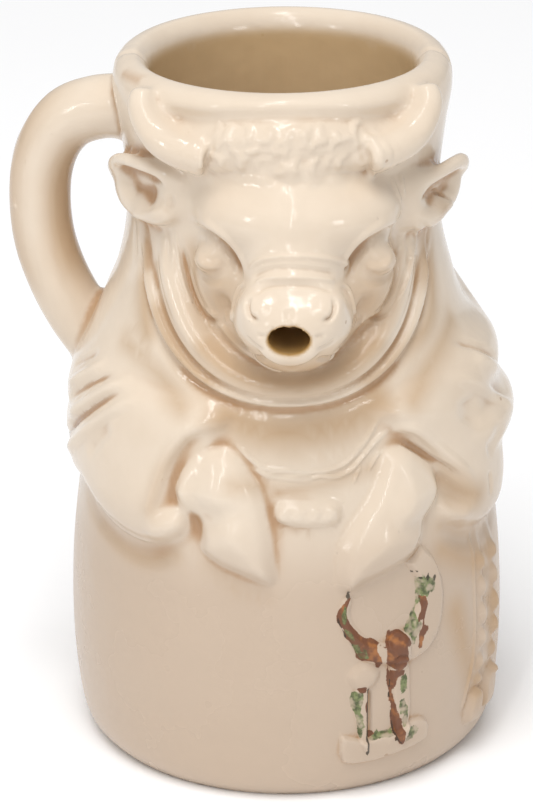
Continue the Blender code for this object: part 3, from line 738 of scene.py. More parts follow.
# The creases under the ears' folds, their lobes' edges, and the thin lines below the horns
EAR_LINES = (
    ((-41.4, 120.2), (-47.5, 121), (-53, 121.6), (-58, 121.8), (-63, 121.2), (-68, 120)), 1.4, -0.8, 0.3,
    ((48.5, 116), (54.6, 116.9), (60, 117.8), (66.4, 118.4), (73, 118.4), (79, 117.6)), 1.2, -0.6, 0.3,
    ((-40.4, 117.4), (-46.4, 115), (-52.2, 113.8), (-58.1, 113), (-64, 112.6)), 1.3, 0.45, 0.3,
    ((48, 113), (51.1, 111.6), (56, 109.8), (63.5, 109), (69, 109.4)), 1.2, -0.4, 0.3,
    ((59, 117.2), (64, 115.8), (69.5, 113.8), (74, 111.6)), 0.8, -0.5, 0.3,
    ((-41.5, 119.6), (-40.4, 117.8), (-41.8, 115.8)), 1.2, -0.4, 0.3,
    ((-56.4, 135), (-55.4, 131.6), (-51.6, 128.7), (-45, 126.4), (-38.4, 124.8)), 0.7, 0.35, 0.3,
    ((-55.4, 136), (-54.2, 132.4), (-50.6, 129.8), (-44.4, 127.4), (-37.6, 125.8),
     (-32.2, 125.2)), 0.8, -0.6, 0.3,
    ((60.4, 135.4), (59.4, 132), (55.4, 129.2), (48.6, 126.4), (42, 124.8), (37, 124.6)), 0.8, -0.6, 0.3,
    ((40.4, 122.6), (40.8, 119.6), (41.4, 117)), 0.8, 0.3, 0.3,
    ((44.4, 122.8), (44, 120.2), (43.4, 118)), 0.6, 0.25, 0.3)


def ear_cups(skin):
    """The hollows of the ears, under their upper folds."""
    skin.lines(EAR_CUPS)
    skin.press()


def ear_lines(skin):
    """The creases of the ears and the lines below the horns."""
    skin.lines(EAR_LINES)
    skin.press()


# Lines of the face on one side, as lateral and height, then half width, rise and taper
FACE_LINES = (
    ((19.6, 112.6), (17.6, 113.6), (15.6, 113.5), (13.8, 112.6), (12.2, 111.2), (11, 109.4), (10.2, 107.2),
     (9.8, 104.8)), 1.7, -1.2, 0.25,
    ((19, 114.9), (16.6, 115.8), (14.4, 115.3), (12.2, 113.8), (10.6, 111.8), (9.4, 109.6),
     (8.9, 107)), 1.5, 0.5, 0.25,
    ((19.6, 110.6), (19.4, 108), (18.4, 106), (16.8, 105), (15, 105), (13.2, 105.8),
     (11.6, 106.8)), 1.6, -0.5, 0.35,
    ((18.4, 109.6), (17.4, 108.2), (15.8, 107.6), (14, 108), (12.6, 108.8)), 1.5, 0.6, 0.35,
    ((21.4, 109.5), (21.2, 106), (20.4, 102.6), (19.2, 99.6), (17.8, 97.2), (16, 96.2), (14.2, 96.2),
     (12.8, 95.9)), 0.9, -0.3, 0.15,
    ((20, 107), (19.4, 103.6), (18.4, 100.6), (17, 98.4), (15.4, 97.6), (13.6, 97.4)), 1, 0.35, 0.2,
    ((14.6, 103.2), (13.4, 101), (12.5, 99.4), (12, 97.2)), 2.4, -0.8, 0.35,
    ((12.9, 98.6), (12.7, 97), (12.1, 95.6)), 0.6, 0.3, 0.3,
    ((8.2, 106.2), (9.8, 104.8), (10.8, 102.6), (11.2, 99.8), (11.1, 97.2), (10.3, 94.9), (8.8, 93.7),
     (7, 93.6)), 0.75, 0.5, 0.2,
    ((10.6, 94.2), (9, 92.8), (7.2, 92.5), (5.6, 93.4), (4.6, 94.2)), 1.2, -0.6, 0.3,
    ((8, 92.2), (6.6, 90.6), (4.4, 89.6), (2, 89.2), (-0.5, 89.1)), 0.8, 0.45, 0.2,
    ((7.4, 105.9), (8, 104.8), (8, 103.6), (7.4, 102.6), (6.4, 102.4), (5.6, 102.8)), 0.95, -0.85, 0.3,
    ((4.4, 97), (5.8, 96.9), (7.2, 97.5), (8.6, 98.8)), 0.8, -0.35, 0.3,
    ((4.2, 99.6), (5.4, 99.4), (6.4, 99.2)), 0.7, -0.3, 0.35,
    ((22.6, 112.6), (22.4, 108.4), (21.8, 104.4), (20.6, 100.8), (18.8, 97.6)), 0.6, 0.3, 0.2)

# Wrinkles across the nose: lateral and height, then half width and rise
NOSE_WRINKLES = (
    ((-8.4, 108.4), (-7.2, 110), (-5.4, 111.4), (-3, 112.2), (0, 112.5), (3.4, 112.3), (6.4, 111.4),
     (8.6, 110.2), (9.8, 108.9), (9.6, 107.4), (8.6, 106.9)), 0.9, 0.45,
    ((-7.8, 107.2), (-6, 108.9), (-3.4, 110.1), (0, 110.4), (3.6, 110), (6.4, 109.1),
     (8.2, 108.1)), 1, -0.4,
    ((-7.4, 106.4), (-5.8, 107.7), (-3.4, 108.6), (0, 108.9), (3.6, 108.6), (6.4, 107.8),
     (8.2, 106.9)), 0.9, 0.42,
    ((-7, 105.6), (-5.4, 106.7), (-3.2, 107.3), (0, 107.5), (3.4, 107.3), (6.2, 106.6),
     (7.6, 106)), 0.9, -0.36)
# The middle of the nose, and round bumps on the muzzle: lateral, height, width and rise
NOSE_MIDDLE = (
    ((-0.6, 104.6), (-0.3, 103.6), (-0.1, 102.6)), 1.2, -0.4,
    ((-1.6, 101.9), (-0.3, 102.7), (1, 101.9)), 0.7, -0.3,
    ((0, 114), (0.3, 119), (0.2, 124)), 3.0, 0.25)
MUZZLE_BUMPS = ((-5.6, 103.6, 2.4, 0.3), (5.8, 103.8, 2.4, 0.3), (-0.3, 102, 1.5, 0.45))


def face_lines(skin):
    """Lids, eye creases, cheeks, muzzle, nostrils, lips and wrinkles."""
    for points, width, rise, taper in rows(FACE_LINES, 4):
        for side in (-1, 1):
            skin.stroke(skin.from_front(points, side), width, rise, taper)
    skin.press()
    for table, taper in ((NOSE_WRINKLES, 0.15), (NOSE_MIDDLE, 0.35)):
        for points, width, rise in rows(table, 3):
            skin.stroke(skin.from_front(points), width, rise, taper)
    for lateral, height, width, rise in MUZZLE_BUMPS:
        skin.dab(skin.on_face(lateral, height), width, rise)
    skin.press()


STRANDS = (62.2, 70.8)
BEADS = ((41.4, 2.2), (36.1, 2.4), (30.3, 2.6), (25.2, 2.3), (19.8, 2.2), (16.0, 1.5))
STRAND_LEAN = 0.04


def oval(azimuth, height, half_width, half_height, corners=12):
    """Points on an oval on the jug's skin, its half width in steps."""
    scale = 1 / (math.radians(1.0) * float(jug_radius(height) + 2))
    angles = 2 * math.pi * np.arange(corners) / corners
    return [(azimuth + half_width * scale * math.cos(a), height + half_height * math.sin(a)) for a in angles]


ROPE = ((-2.4, 59.2), (-2.4, 63), (6, 63.6), (14.6, 62.6), (14.6, 58.4), (6, 57.8))
# What hangs at the foot of the beads, and the tab beside it
PENDANT = ((54.6, 9.0), (55.6, 13.6), (57.6, 14.6), (61.6, 14.4), (63, 12.6), (62.4, 7.8), (60.6, 6.8),
    (56.4, 7.0))
PENDANT_TAB = ((64.4, 8.2), (65, 15.6), (72, 16), (72.6, 8))


def waist_things(skin):
    """Rope at the waist, hem of the shawl, and the strands of beads at the side."""
    skin.pad(ROPE, 1.2, 2.0)
    skin.band([(-5, 64.6), (6, 65.2), (17.6, 64.0)], 1.9, -0.3)
    for azimuth in STRANDS:
        skin.band([(azimuth + 1, 49), (azimuth, 36), (azimuth - 1, 20)], 2.2, 0.4)
    skin.press()
    for azimuth in STRANDS:
        for height, half in BEADS:
            lean = STRAND_LEAN * min(0, height - 30) * 1.6
            skin.pad(oval(azimuth + lean, height, 1.9, half + 0.15), 1.1, 2.2)
    skin.pad(PENDANT, 1.7, 1.6, 0.5)
    skin.pad(PENDANT_TAB, 1.4, 1.6, 0.4)
    skin.press()


ROPE_STRANDS = (-0.6, 3.4, 7.6, 11.8)
# Hem of the shawl, ends of its folds, and the line beside the beads
HEM_LINES = (
    ((-15, 74.4), (-10, 71.4), (-5.6, 69.6), (0.4, 69.3), (5.8, 68.9), (12, 68.9), (17, 69.8), (21.4, 72.2),
     (25.4, 75), (29.6, 79)), 0.75, 0.5, 0.12,
    ((-11, 70.2), (-5, 68.3), (0.4, 67.7), (5.4, 67.4), (9.8, 67.8), (14, 67.4), (18.5, 68.4), (22, 70.4),
     (26.6, 73), (32, 75.2)), 0.75, 0.5, 0.12,
    ((18.6, 65.2), (20.4, 67.6), (21.6, 69)), 0.6, 0.3, 0.3,
    ((23.4, 67.2), (25.6, 69.4), (28.2, 71.2)), 0.6, 0.3, 0.3)
BEAD_LINE = (
    ((59.6, 49), (59.4, 43), (58.8, 36), (58.6, 28), (57.6, 21), (55.2, 15.4), (53.6, 10.6)), 0.7, 0.4, 0.1)


def hem_lines(skin):
    """The hem of the shawl across the chest, the strands of the rope, and the line beside the beads."""
    skin.lines(HEM_LINES)
    for azimuth in ROPE_STRANDS:
        strand = [(azimuth - 1.2, 59.3), (azimuth, 60.8), (azimuth + 1.4, 62.0)]
        skin.stroke(skin.from_side(strand), 1.6, 0.35, 0.3)
    skin.lines(BEAD_LINE)
    skin.press()


# The ring of keys and the outlines of the keys' parts
RING_OUTER = ((34, 51.6), (39.1, 50.4), (42.5, 47.4), (44.2, 44), (44.8, 40), (44, 35.6), (42.1, 31.8),
    (38.8, 29.2), (34, 27.9), (29, 28.2), (24.4, 28.6), (20, 30), (17, 33), (14.4, 36.6), (13.1, 39.6),
    (14, 42.6), (16.7, 44.4))
RING_INNER = ((18.4, 46), (16.9, 42.6), (16.1, 40.6), (17, 37.8), (20, 35), (23.6, 33.7), (27.4, 33.2),
    (31.2, 34.6), (34.2, 37.2), (35.9, 40.6), (36.1, 43.2), (34.6, 45.9), (31, 49.6), (25, 50.6))
LEFT_BOW = ((15.2, 26.6), (16.2, 28.8), (18.8, 30.1), (22, 29.8), (24.4, 27.8), (24.2, 25.6), (21.9, 23.7),
    (17.8, 23.7))
LEFT_SHANK = ((16.8, 23.8), (20.8, 24), (21, 18.5), (21.2, 13), (20.9, 10.4), (19, 11.6), (18.2, 15),
    (17.2, 19.6))
RIGHT_BOW = ((26, 31), (26.6, 34), (29.4, 35.4), (32.4, 34), (33.2, 30.8), (32.2, 27.6), (29.2, 26.6),
    (26.8, 28))
RIGHT_SHANK = ((27.2, 28), (32.3, 28), (33, 22.6), (33.3, 17.6), (32.6, 13.6), (31, 10.6), (30.3, 9.8),
    (29.4, 11.2), (28.3, 14.4), (27.7, 19.6))
BITS = ((13.5, 14.2), (16.4, 14.1), (20.2, 13), (25, 13.4), (29, 13.4), (33.4, 15.2), (38.4, 14.2),
    (39.4, 10.6), (37.5, 9.2), (32.9, 8.5), (27.7, 8.1), (21, 7.7), (14.2, 8.6))
KEY_EDGE = 0.7
RING_RISE = 1.0
RING_EDGE = 1.2
KEY_LINES = (
    ((21.3, 24.2), (21.6, 18.5), (21.7, 13.4)), 0.6, -0.5, 0.15,
    ((16.9, 43.6), (15.9, 40.8), (16.9, 37.8), (20, 34.9), (23.4, 33.5)), 0.7, 0.3, 0.15,
    ((26.4, 31.4), (27, 33.6), (29.2, 34.6), (31.4, 33.6)), 0.7, 0.4, 0.15,
    ((26.6, 29), (29, 30.4), (32.2, 29.6)), 0.6, -0.4, 0.15,
    ((43.9, 44.4), (44.5, 40), (43.7, 35.6), (41.8, 31.8)), 0.6, 0.3, 0.15)


def keys(skin):
    """A ring with two keys that hangs from the hoof at the figure's left."""
    numbers, laid, outer = skin.flat(RING_OUTER, 0, True)
    across = steps_across(RING_OUTER)
    inner, hoof = (depth_inside(laid, smooth_path(points, 6, True) * across)
                   for points in (RING_INNER, RIGHT_HOOF))
    depth = np.minimum(depth_inside(laid, outer), -np.maximum(inner, hoof))
    skin.moved[numbers] += skin.outward[numbers] * (RING_RISE * rounded(depth / RING_EDGE))[:, None]
    skin.pad(BITS, 1.1, KEY_EDGE)
    skin.press()
    skin.pad(LEFT_BOW, 1.0, 2.2, 0.3)
    skin.pad(LEFT_SHANK, 0.7, KEY_EDGE)
    skin.pad(RIGHT_SHANK, 0.9, KEY_EDGE)
    skin.pad(RIGHT_BOW, 1.1, 1.8, 0.4)
    skin.press()


def key_lines(skin):
    """The thin edges of the ring and keys."""
    skin.lines(KEY_LINES)
    skin.press()


RIM_SEAMS = (-92.0, 86.0)
# A seam's way over the rim: height, radius and lean in degrees
OVER_RIM = ((132, 32.6, 0), (136, 32.8, 1), (139.4, 31, 2), (140.2, 29, 3), (139.4, 26.6, 4), (137, 25.4, 4))


def seams(skin):
    """Traces of the mould: faint notches over the rim and a line along the handle."""
    for azimuth in RIM_SEAMS:
        over = [np.array(polar(azimuth + lean, height, radius)) / STEP for height, radius, lean in OVER_RIM]
        skin.stroke(smooth_path(over), 1.5, -0.3, 0.25)
    skin.stroke(skin.from_side([(HANDLE_AZIMUTH, height) for height in range(124, 80, -4)]), 0.9, 0.15, 0.15)
    skin.stroke(skin.from_side([(HANDLE_AZIMUTH + 5, 107.6), (HANDLE_AZIMUTH + 5, 106.4)]), 0.8, 0.3, 0.3)
    skin.press()


BACK_LIFT = 0.8


def raised_back(skin):
    """Lifts the back of the rim a little, where the cast stands highest."""
    share = ramp((skin.height - 118) / 20) * ramp((skin.points[:, 1] + 14) / 40)
    skin.moved[:, 2] += BACK_LIFT * share
    skin.press()


# Putting the jug together

def outside():
    """The figure's outer form, still solid, standing a little through the ground."""
    skirt = [(-4.0, FOOT - 3.5)]
    lip = [(139.6, RIM - 2.0), (140.0, RIM - 4.0), (140.0, 12.0)]
    jug = thrown("creamer_body", skirt + [tuple(point) for point in PROFILE] + lip)
    figure = joined([jug] + head_masses() + jaws(), "creamer_body")
    fuse(figure, MASS_VOXEL, 12)
    skin = Skin(figure)
    shoulders(skin)
    sleeves(skin)
    return joined([figure] + face_details() + horns() + ears() + handle(), "creamer_body")


def inside():
    """The hollow: the jug's and the head's own shape, a wall's thickness in, open through the rim."""
    opening = RIM - 3.0 - WALL
    heights = [h for h in PROFILE[:, 0] if FLOOR + 4 < h < 118]
    outline = [(FLOOR, jug_radius(FLOOR) - WALL - 5), (FLOOR + 1, jug_radius(FLOOR) - WALL - 2)]
    outline += [(h, float(jug_radius(h)) - WALL) for h in heights]
    outline += [(122, opening), (136.5, opening), (138.6, opening + 0.8), (139.6, opening + 2.0),
                (140.2, opening + 3.6), (144, opening + 5)]
    hollow = joined([thrown("hollow", outline)] + head_masses(WALL), "hollow")
    fuse(hollow, MASS_VOXEL, 3)
    return hollow


def mouth():
    """The pouring hole, from the muzzle's hollow out through the lips."""
    inner_end = on_head(MOUTH_SIDE, MUZZLE[0][1] - 4, MOUTH_LEVEL)
    outer_end = on_head(MOUTH_SIDE, MUZZLE[0][1] + 2 * MUZZLE[1][1], MOUTH_LEVEL)
    turn = HEAD_FRAME @ Matrix.Rotation(math.radians(90), 3, 'X')
    deselect()
    bpy.ops.mesh.primitive_cylinder_add(vertices=40, radius=1, depth=(outer_end - inner_end).length,
                                        location=(inner_end + outer_end) / 2, rotation=turn.to_euler(),
                                        scale=(MOUTH_WIDTH / 2 * STEP, MOUTH_HEIGHT / 2 * STEP, 1))
    return joined([bpy.context.object], "mouth")


def stood_flat(thing):
    """Cuts the underside flat on the ground."""
    pick(thing)
    edit_all()
    bpy.ops.mesh.bisect(plane_co=(0, 0, 0), plane_no=(0, 0, 1), use_fill=True, clear_inner=True)
    bpy.ops.mesh.select_all(action='DESELECT')
    bpy.ops.object.mode_set(mode='OBJECT')


def carved_faces(skin):
    """Faces of the front, where the carving is finest."""
    def within(values, low, high):
        return (values > low) & (values < high)

    head = within(skin.height, 87, 137) & within(skin.azimuth, -48, 50)
    waist = within(skin.height, 5, 71) & within(skin.azimuth, 8, 76)
    chosen = (head | waist) & (skin.radius > jug_radius(skin.height) - 1.5)
    mesh = skin.thing.data
    corners = np.empty(len(mesh.loops), np.int32)
    mesh.loops.foreach_get("vertex_index", corners)
    first = np.empty(len(mesh.polygons), np.int32)
    mesh.polygons.foreach_get("loop_start", first)
    return chosen[corners[first]]


# The cloth is softened below this level
CLOTH_TOP = 94
CLOTH_FADE = 8
CLOTH_ROUNDS = 6


def modelled():
    """The creamer, cast in one, with the surfaces of its hollow and of its mouth."""
    figure = outside()
    fuse(figure, CUT_VOXEL, 3)
    hollow = inside()
    hole = mouth()
    linings = [surface_of(hollow), surface_of(hole)]
    cut(figure, hollow)
    cut(figure, hole)
    fuse(figure, SKIN_VOXEL, 2)
    skin = Skin(figure)
    for carve in (hooves, collar, forelock):
        carve(skin)
    softened(figure, "cloth", skin.outer * (1 - ramp((skin.height - CLOTH_TOP) / CLOTH_FADE)), CLOTH_ROUNDS)
    skin = Skin(figure)
    for carve in (ear_cups, waist_things, raised_back):
        carve(skin)
    refined(figure, carved_faces(skin))
    skin = Skin(figure)
    for carve in (keys, sleeve_folds, hoof_lines, collar_lines, curls, ear_lines, face_lines, hem_lines,
                  key_lines, seams):
        carve(skin)
    stood_flat(figure)
    return figure, linings


def thinned(figure):
    """Keeps the triangles where the skin bends."""
    present = sum(len(face.vertices) - 2 for face in figure.data.polygons)
    decimate = figure.modifiers.new("thin", 'DECIMATE')
    decimate.ratio = min(1.0, TRIANGLES / present)
    decimate.use_collapse_triangulate = True
    apply_modifiers(figure)


# Where the glaze pools, where shade is painted in, and where paint is left

def evened(values, pairs, rounds):
    """Values of the points evened out with their neighbours', round after round."""
    count = len(values)
    here = np.concatenate([pairs[:, 0], pairs[:, 1]])
    there = np.concatenate([pairs[:, 1], pairs[:, 0]])
    share = 1 / np.maximum(np.bincount(here, minlength=count), 1)
    even = values.copy()
    for _ in range(rounds):
        for axis in range(3):
            even[:, axis] = np.bincount(here, even[there, axis], count) * share
    return even


def kept(thing, name, values):
    """Stores a value for each point of an object."""
    layer = thing.data.attributes.new(name, 'FLOAT', 'POINT')
    layer.data.foreach_set("value", np.clip(values, 0, 1).astype(np.float32))


# Rounds of evening out, the depth of a hollow that fills up with glaze and painted shade, and its share
POOLS_AND_SHADE = ((5, 0.25, 0.28), (26, 0.75, 0.52), (90, 1.7, 0.68))


def pooled_glaze_and_shade(thing):
    """Marks the hollows, where glaze gathers and shade is painted in, and the ridges, where it runs off."""
    skin = Skin(thing)
    mesh = thing.data
    flat = np.empty(len(mesh.edges) * 2, np.int32)
    mesh.edges.foreach_get("vertices", flat)
    pairs = flat.reshape(-1, 2)
    pooled_and_shaded = np.zeros(len(skin.points))
    raised = np.zeros(len(skin.points))
    even = skin.points
    done = 0
    for rounds, depth, share in POOLS_AND_SHADE:
        even = evened(even, pairs, rounds - done)
        done = rounds
        below = np.einsum('ij,ij->i', even - skin.points, skin.facing)
        pooled_and_shaded += share * ramp(below / depth)
        raised = np.maximum(raised, ramp(-below / (1.6 * depth)) * share)
    kept(thing, "pooled_and_shaded", pooled_and_shaded)
    kept(thing, "raised", raised * 1.6)


# Outlines of the paint left on the ring and keys, in azimuth and height
RUST = (
    ((16.5, 43.7), (14.8, 42.8), (13.4, 41.3), (12.7, 39.6), (13.5, 38.3), (14.5, 37.2), (15, 35.5),
     (16.5, 34.2), (17.4, 32.4), (18.3, 30.4), (22, 29.9), (23.5, 28), (24.7, 29.2), (23.1, 31.7),
     (23.5, 33.2), (25.8, 31.9), (25.2, 32.6), (22.5, 34.4), (20, 35), (17.6, 36.9), (16.1, 38.6),
     (15.3, 40.3), (15.4, 41.8)),
    ((25.8, 33), (26.8, 34.8), (29.3, 35.3), (31.4, 34.1), (32.5, 32.1), (30.9, 32), (31.3, 29.7),
     (31.1, 28.4), (29.7, 27.1), (28, 27.4), (25.9, 28.8), (25.8, 30.7)),
    ((36.3, 41), (39.1, 40.5), (38.5, 38.6), (37.5, 37.5), (36.9, 36.1), (35.4, 35.6), (35, 36.5),
     (36.2, 38.5)),
    ((33, 31.1), (34.9, 32.3), (35.9, 34.4), (37.8, 35.2), (38, 33.6), (36.9, 32.5), (35.6, 30.5),
     (33.9, 31.2)),
    ((26.4, 26.9), (31, 26.7), (31.3, 25.3), (29.3, 25.4), (28.3, 23.9), (27.5, 22.5), (28.4, 19.6),
     (29, 17.7), (30, 16.5), (30.7, 13.9), (30.8, 11.8), (29.9, 10.6), (28.7, 12.2), (27.5, 15.6),
     (27.5, 19.1), (26.6, 22.6)),
    ((17.8, 24.7), (20.3, 24.8), (19.9, 23.6), (18.7, 23.6)),
    ((20, 21.4), (21, 21.5), (20.8, 19.1), (20, 19.5)),
    ((21, 14.6), (23.2, 14.4), (22.7, 13.6), (21.4, 13.1)))
GREEN = (
    ((15, 42.5), (14.2, 41), (13.9, 39.8), (14.5, 38.4), (15.2, 39.6), (15.2, 41.2)),
    ((14.4, 37.6), (16, 37.1), (17.2, 35), (16, 35.4), (15, 36.6)),
    ((16.5, 34.2), (18.3, 34), (18.6, 32.6), (20.4, 32.4), (20.8, 31), (19.2, 30.6), (18, 31.7),
     (16.9, 33.3)),
    ((35.8, 44.9), (41, 43.9), (40.9, 42.2), (39.8, 41.5), (38.2, 40.8), (35.9, 41.4)),
    ((36, 40.9), (36.5, 40), (35, 38.4), (35.3, 36.1), (36.2, 34.9), (33.8, 32.3), (32.9, 31.5),
     (32.8, 33.1), (31.4, 34.7), (33.1, 36.6), (34.2, 38.6)),
    ((16.5, 23.7), (19.1, 23.7), (19.5, 21.7), (18.7, 20.2), (19.7, 17.5), (20.2, 15.9), (18.3, 15.8),
     (17.4, 18.9), (16.4, 21.1)),
    ((18.1, 15.8), (19.1, 15.2), (19.2, 13.5), (18.6, 13.9)),
    ((29.3, 25.6), (31.2, 25.5), (31.5, 23.3), (31.2, 21.6), (29.7, 22.3), (29.6, 24.2)),
    ((29.2, 20), (30.8, 20.2), (32, 18.1), (32, 15.3), (31.1, 14.1), (30.4, 15), (30.5, 17), (29, 18.4)),
    ((21.5, 13.1), (23.4, 14), (25.4, 14.3), (28.1, 13.6), (27.6, 12.7), (24.6, 12.9), (21.9, 12.7)),
    ((32.3, 14), (34.6, 13.4), (36.3, 13.7), (35.6, 12.7), (33.9, 11), (31.8, 10.7), (31.1, 11.3),
     (32.4, 12.1)))
# Thin dark lines along the paint, with half widths
DARK = (
    ((20.9, 23.9), (20.7, 20.2), (20.8, 16.7), (20.7, 12.2), (20.7, 9.9)), 0.3,
    ((35.8, 44.9), (38.2, 44.5), (40.7, 44.1), (41, 42.4)), 0.2,
    ((16.1, 44.9), (15.9, 43.9)), 0.35,
    ((34.3, 46.2), (35.7, 46.2)), 0.25,
    ((13, 40), (13.4, 38.6), (14.4, 37.2), (15, 35.6)), 0.15,
    ((27, 25), (26.9, 21), (27.6, 16.6), (28.8, 12.4), (30, 10.9)), 0.15)
STAINS = (
    ((-72, 138.4), (-60, 138.8)), 0.6,
    ((-58.5, 107), (-54, 103.2)), 0.8)
# Painted shade along paths, with half widths: under the head, sleeves and hem, on the cheeks and neck, in the
# cuffs' hollows, and low on the side away from the key light
SHADE_WASHES = (
    ((-17, 79), (-8, 77), (3, 76.5), (20, 78), (28, 81)), 3,
    ((-24, 92), (-12, 87.5), (3, 86), (16, 87.5), (28, 92)), 2.5,
    ((-33, 108), (-31, 101), (-25, 95)), 1.5,
    ((37, 108), (35, 101), (29, 95)), 2.5,
    ((-60, 110), (-56, 103)), 1,
    ((62, 108), (58, 100)), 2,
    ((-58, 88), (-44, 85), (-30, 80)), 0.5,
    ((-57, 99), (-49, 91)), 1.5,
    ((66, 90), (52, 86), (38, 80)), 1,
    ((-60, 50.6), (-50, 48.4), (-40, 48), (-31, 50.6)), 0.6,
    ((-22, 49.6), (-13, 46), (-5, 44.6)), -0.8,
    ((46, 53), (55, 49.4), (68, 47)), 0.4,
    ((-36, 60), (-33, 68), (-26, 74)), 0,
    ((47, 62.4), (52, 59.4), (57, 57.4)), 2,
    ((-44, 96), (-34, 89), (-24, 85.5)), 2.2,
    ((64, 112), (62, 100), (54, 92), (37, 88), (26, 84.5)), 1.4,
    ((50, 34), (56, 20), (64, 8)), 2.5,
    ((74, 30), (76, 10)), 6,
    ((-14, 67), (4, 65.6), (24, 68)), 0,
    ((46, 48), (60, 42), (80, 40)), 2)
# Painted shade on the face: to the side, height, width and strength
FACE_SHADE_WASHES = ((13.5, 100.5, 11, 0.9), (15.5, 106, 7.5, 0.6), (3, 90.6, 8.5, 1), (0, 92.4, 6, 0.9),
    (12, 93.5, 8, 0.9))
PAINT_EDGE = 0.8


def filled(skin, outlines, edge):
    """How much paint lies at each point inside some outlines."""
    share = np.zeros(len(skin.points))
    for points in outlines:
        numbers, laid, path = skin.flat(points, edge, True)
        share[numbers] = np.maximum(share[numbers], ramp(0.5 + depth_inside(laid, path) / edge))
    return share


def painted(skin, paths, edge):
    """How much paint or tint lies at each point along some paths, with an edge so wide."""
    share = np.zeros(len(skin.points))
    for points, width in rows(paths, 2):
        numbers, laid, path = skin.flat(points, width + edge, False)
        distance, _ = distance_along(laid, path)
        share[numbers] = np.maximum(share[numbers], ramp(0.5 + (width - distance) / edge))
    return share


def shade_washed(skin):
    """Painted shade over wide areas: under the head, on the cheeks, under the sleeves, and inside and outside
    the handle.
    """
    shade_wash = painted(skin, SHADE_WASHES, 7.0)
    for lateral, height, width, share in FACE_SHADE_WASHES:
        for side in (-1, 1):
            away = np.linalg.norm(skin.points - skin.on_face(side * lateral, height), axis=1)
            shade_wash = np.maximum(shade_wash, share * ramp(1 - away / width))
    # Painted shade inside the handle and, lighter, on its outer side
    arm = np.array(polar(HANDLE_AZIMUTH, 0, 1)) / STEP
    out = skin.points @ arm
    inner = ramp((out - NECK - 2) / 5) * ramp((skin.height - 86) / 12) * ramp(-skin.facing @ arm)
    outer = ramp((out - NECK - 7) / 4) * ramp((skin.height - 84) / 12) * ramp(skin.facing @ arm)
    return np.maximum(shade_wash, np.maximum(inner, 0.8 * outer))


def nearness(skin, surface, reach):
    """How near each point lies to a surface."""
    away = [surface.find_nearest(Vector(point * STEP))[3] for point in skin.points]
    return 1 - ramp(np.array(away) / STEP / reach)


# Where the painted shade of the lining gives way to the cream of the rim
RIM_LINE = 135.4
LINING_FADE = 3
LINING_REACH = 1.2
SHADE_UNDER_RIM = 0.18
# Above this level the glaze of the robe turns to that of the shawl
ROBE_LEVEL = 42
ROBE_FADE = 22


def marked(thing, linings):
    """Marks the painted shade of the lining, under the rim, in the mouth and over wide areas, the paint, the
    stains and the lower part of the shawl.
    """
    skin = Skin(thing)
    hollow, hole = linings
    # Painted shade of the lining, deepest just under the rim, and of the mouth's throat
    within = nearness(skin, hollow, LINING_REACH) * (1 - ramp((skin.height - RIM_LINE) / LINING_FADE))
    under_rim = ramp((skin.height - RIM_LINE + 7) / 6) * SHADE_UNDER_RIM
    kept(thing, "lining_shade", np.maximum(within, nearness(skin, hole, 0.5)))
    kept(thing, "throat_shade", np.maximum(nearness(skin, hole, 0.7), within * under_rim))
    kept(thing, "rust", filled(skin, RUST, PAINT_EDGE))
    kept(thing, "green", filled(skin, GREEN, PAINT_EDGE))
    kept(thing, "dark", painted(skin, DARK, 0.6))
    kept(thing, "stains", painted(skin, STAINS, 1.5))
    kept(thing, "shade_wash", shade_washed(skin))
    kept(thing, "robe", skin.outer * (1 - ramp((skin.height - ROBE_LEVEL) / ROBE_FADE)))


# Finishes

CREAM = (0.66, 0.545, 0.425)
PALE = (0.75, 0.65, 0.535)
ROBE_CREAM = (0.485, 0.37, 0.275)
# Colour of the painted shade over wide areas
SHADE_TAN = (0.455, 0.30, 0.168)
# Tan and ochre of pooled glaze, used also as painted shade in hollows and creases, and for the stains and
# specks
TAN = (0.40, 0.222, 0.10)
OCHRE = (0.30, 0.145, 0.055)
# Colours of the painted shade inside the jug and in the mouth
LINING_SHADE = (0.64, 0.45, 0.245)
THROAT_SHADE = (0.34, 0.19, 0.05)
RUST_PAINT = (0.135, 0.036, 0.007)
ORANGE_PAINT = (0.33, 0.115, 0.022)
GREEN_PAINT = (0.05, 0.07, 0.018)
LEAF_PAINT = (0.19, 0.225, 0.085)
DARK_PAINT = (0.028, 0.018, 0.006)
CLAY = (0.66, 0.57, 0.44)
DAMP_CLAY = (0.60, 0.50, 0.37)


def new_node(tree, kind, inputs=(), **settings):
    """A node with its settings; inputs are pairs of a socket and a value or another node's output."""
    made = tree.nodes.new(kind)
    for name, value in settings.items():
        setattr(made, name, value)
    for socket, value in inputs:
        if isinstance(value, bpy.types.NodeSocket):
            tree.links.new(value, made.inputs[socket])
        else:
            made.inputs[socket].default_value = value
    return made


def mixed(tree, share, low, high):
    """A colour between two, by a share."""
    low, high = ((*colour, 1) if isinstance(colour, tuple) else colour for colour in (low, high))
    return new_node(tree, 'ShaderNodeMix', ((0, share), (6, low), (7, high)), data_type='RGBA').outputs[2]


def reckoned(tree, operation, first, second):
    return new_node(tree, 'ShaderNodeMath', ((0, first), (1, second)), operation=operation).outputs[0]


def part_of(tree, value, share):
    return reckoned(tree, 'MULTIPLY', value, share)


def spread(tree, value, low, high, least=0.0, most=1.0):
    """A value stretched from one range to another, and kept inside it."""
    return new_node(tree, 'ShaderNodeMapRange', ((0, value), (1, low), (2, high), (3, least), (4, most)),
                    interpolation_type='SMOOTHSTEP').outputs[0]


def mask(tree, name):
    return new_node(tree, 'ShaderNodeAttribute', attribute_name=name).outputs['Fac']


def noise(tree, place, scale, detail=3.0, roughness=0.55):
    return new_node(tree, 'ShaderNodeTexNoise', (('Vector', place), ('Scale', scale), ('Detail', detail),
                                                 ('Roughness', roughness))).outputs[0]


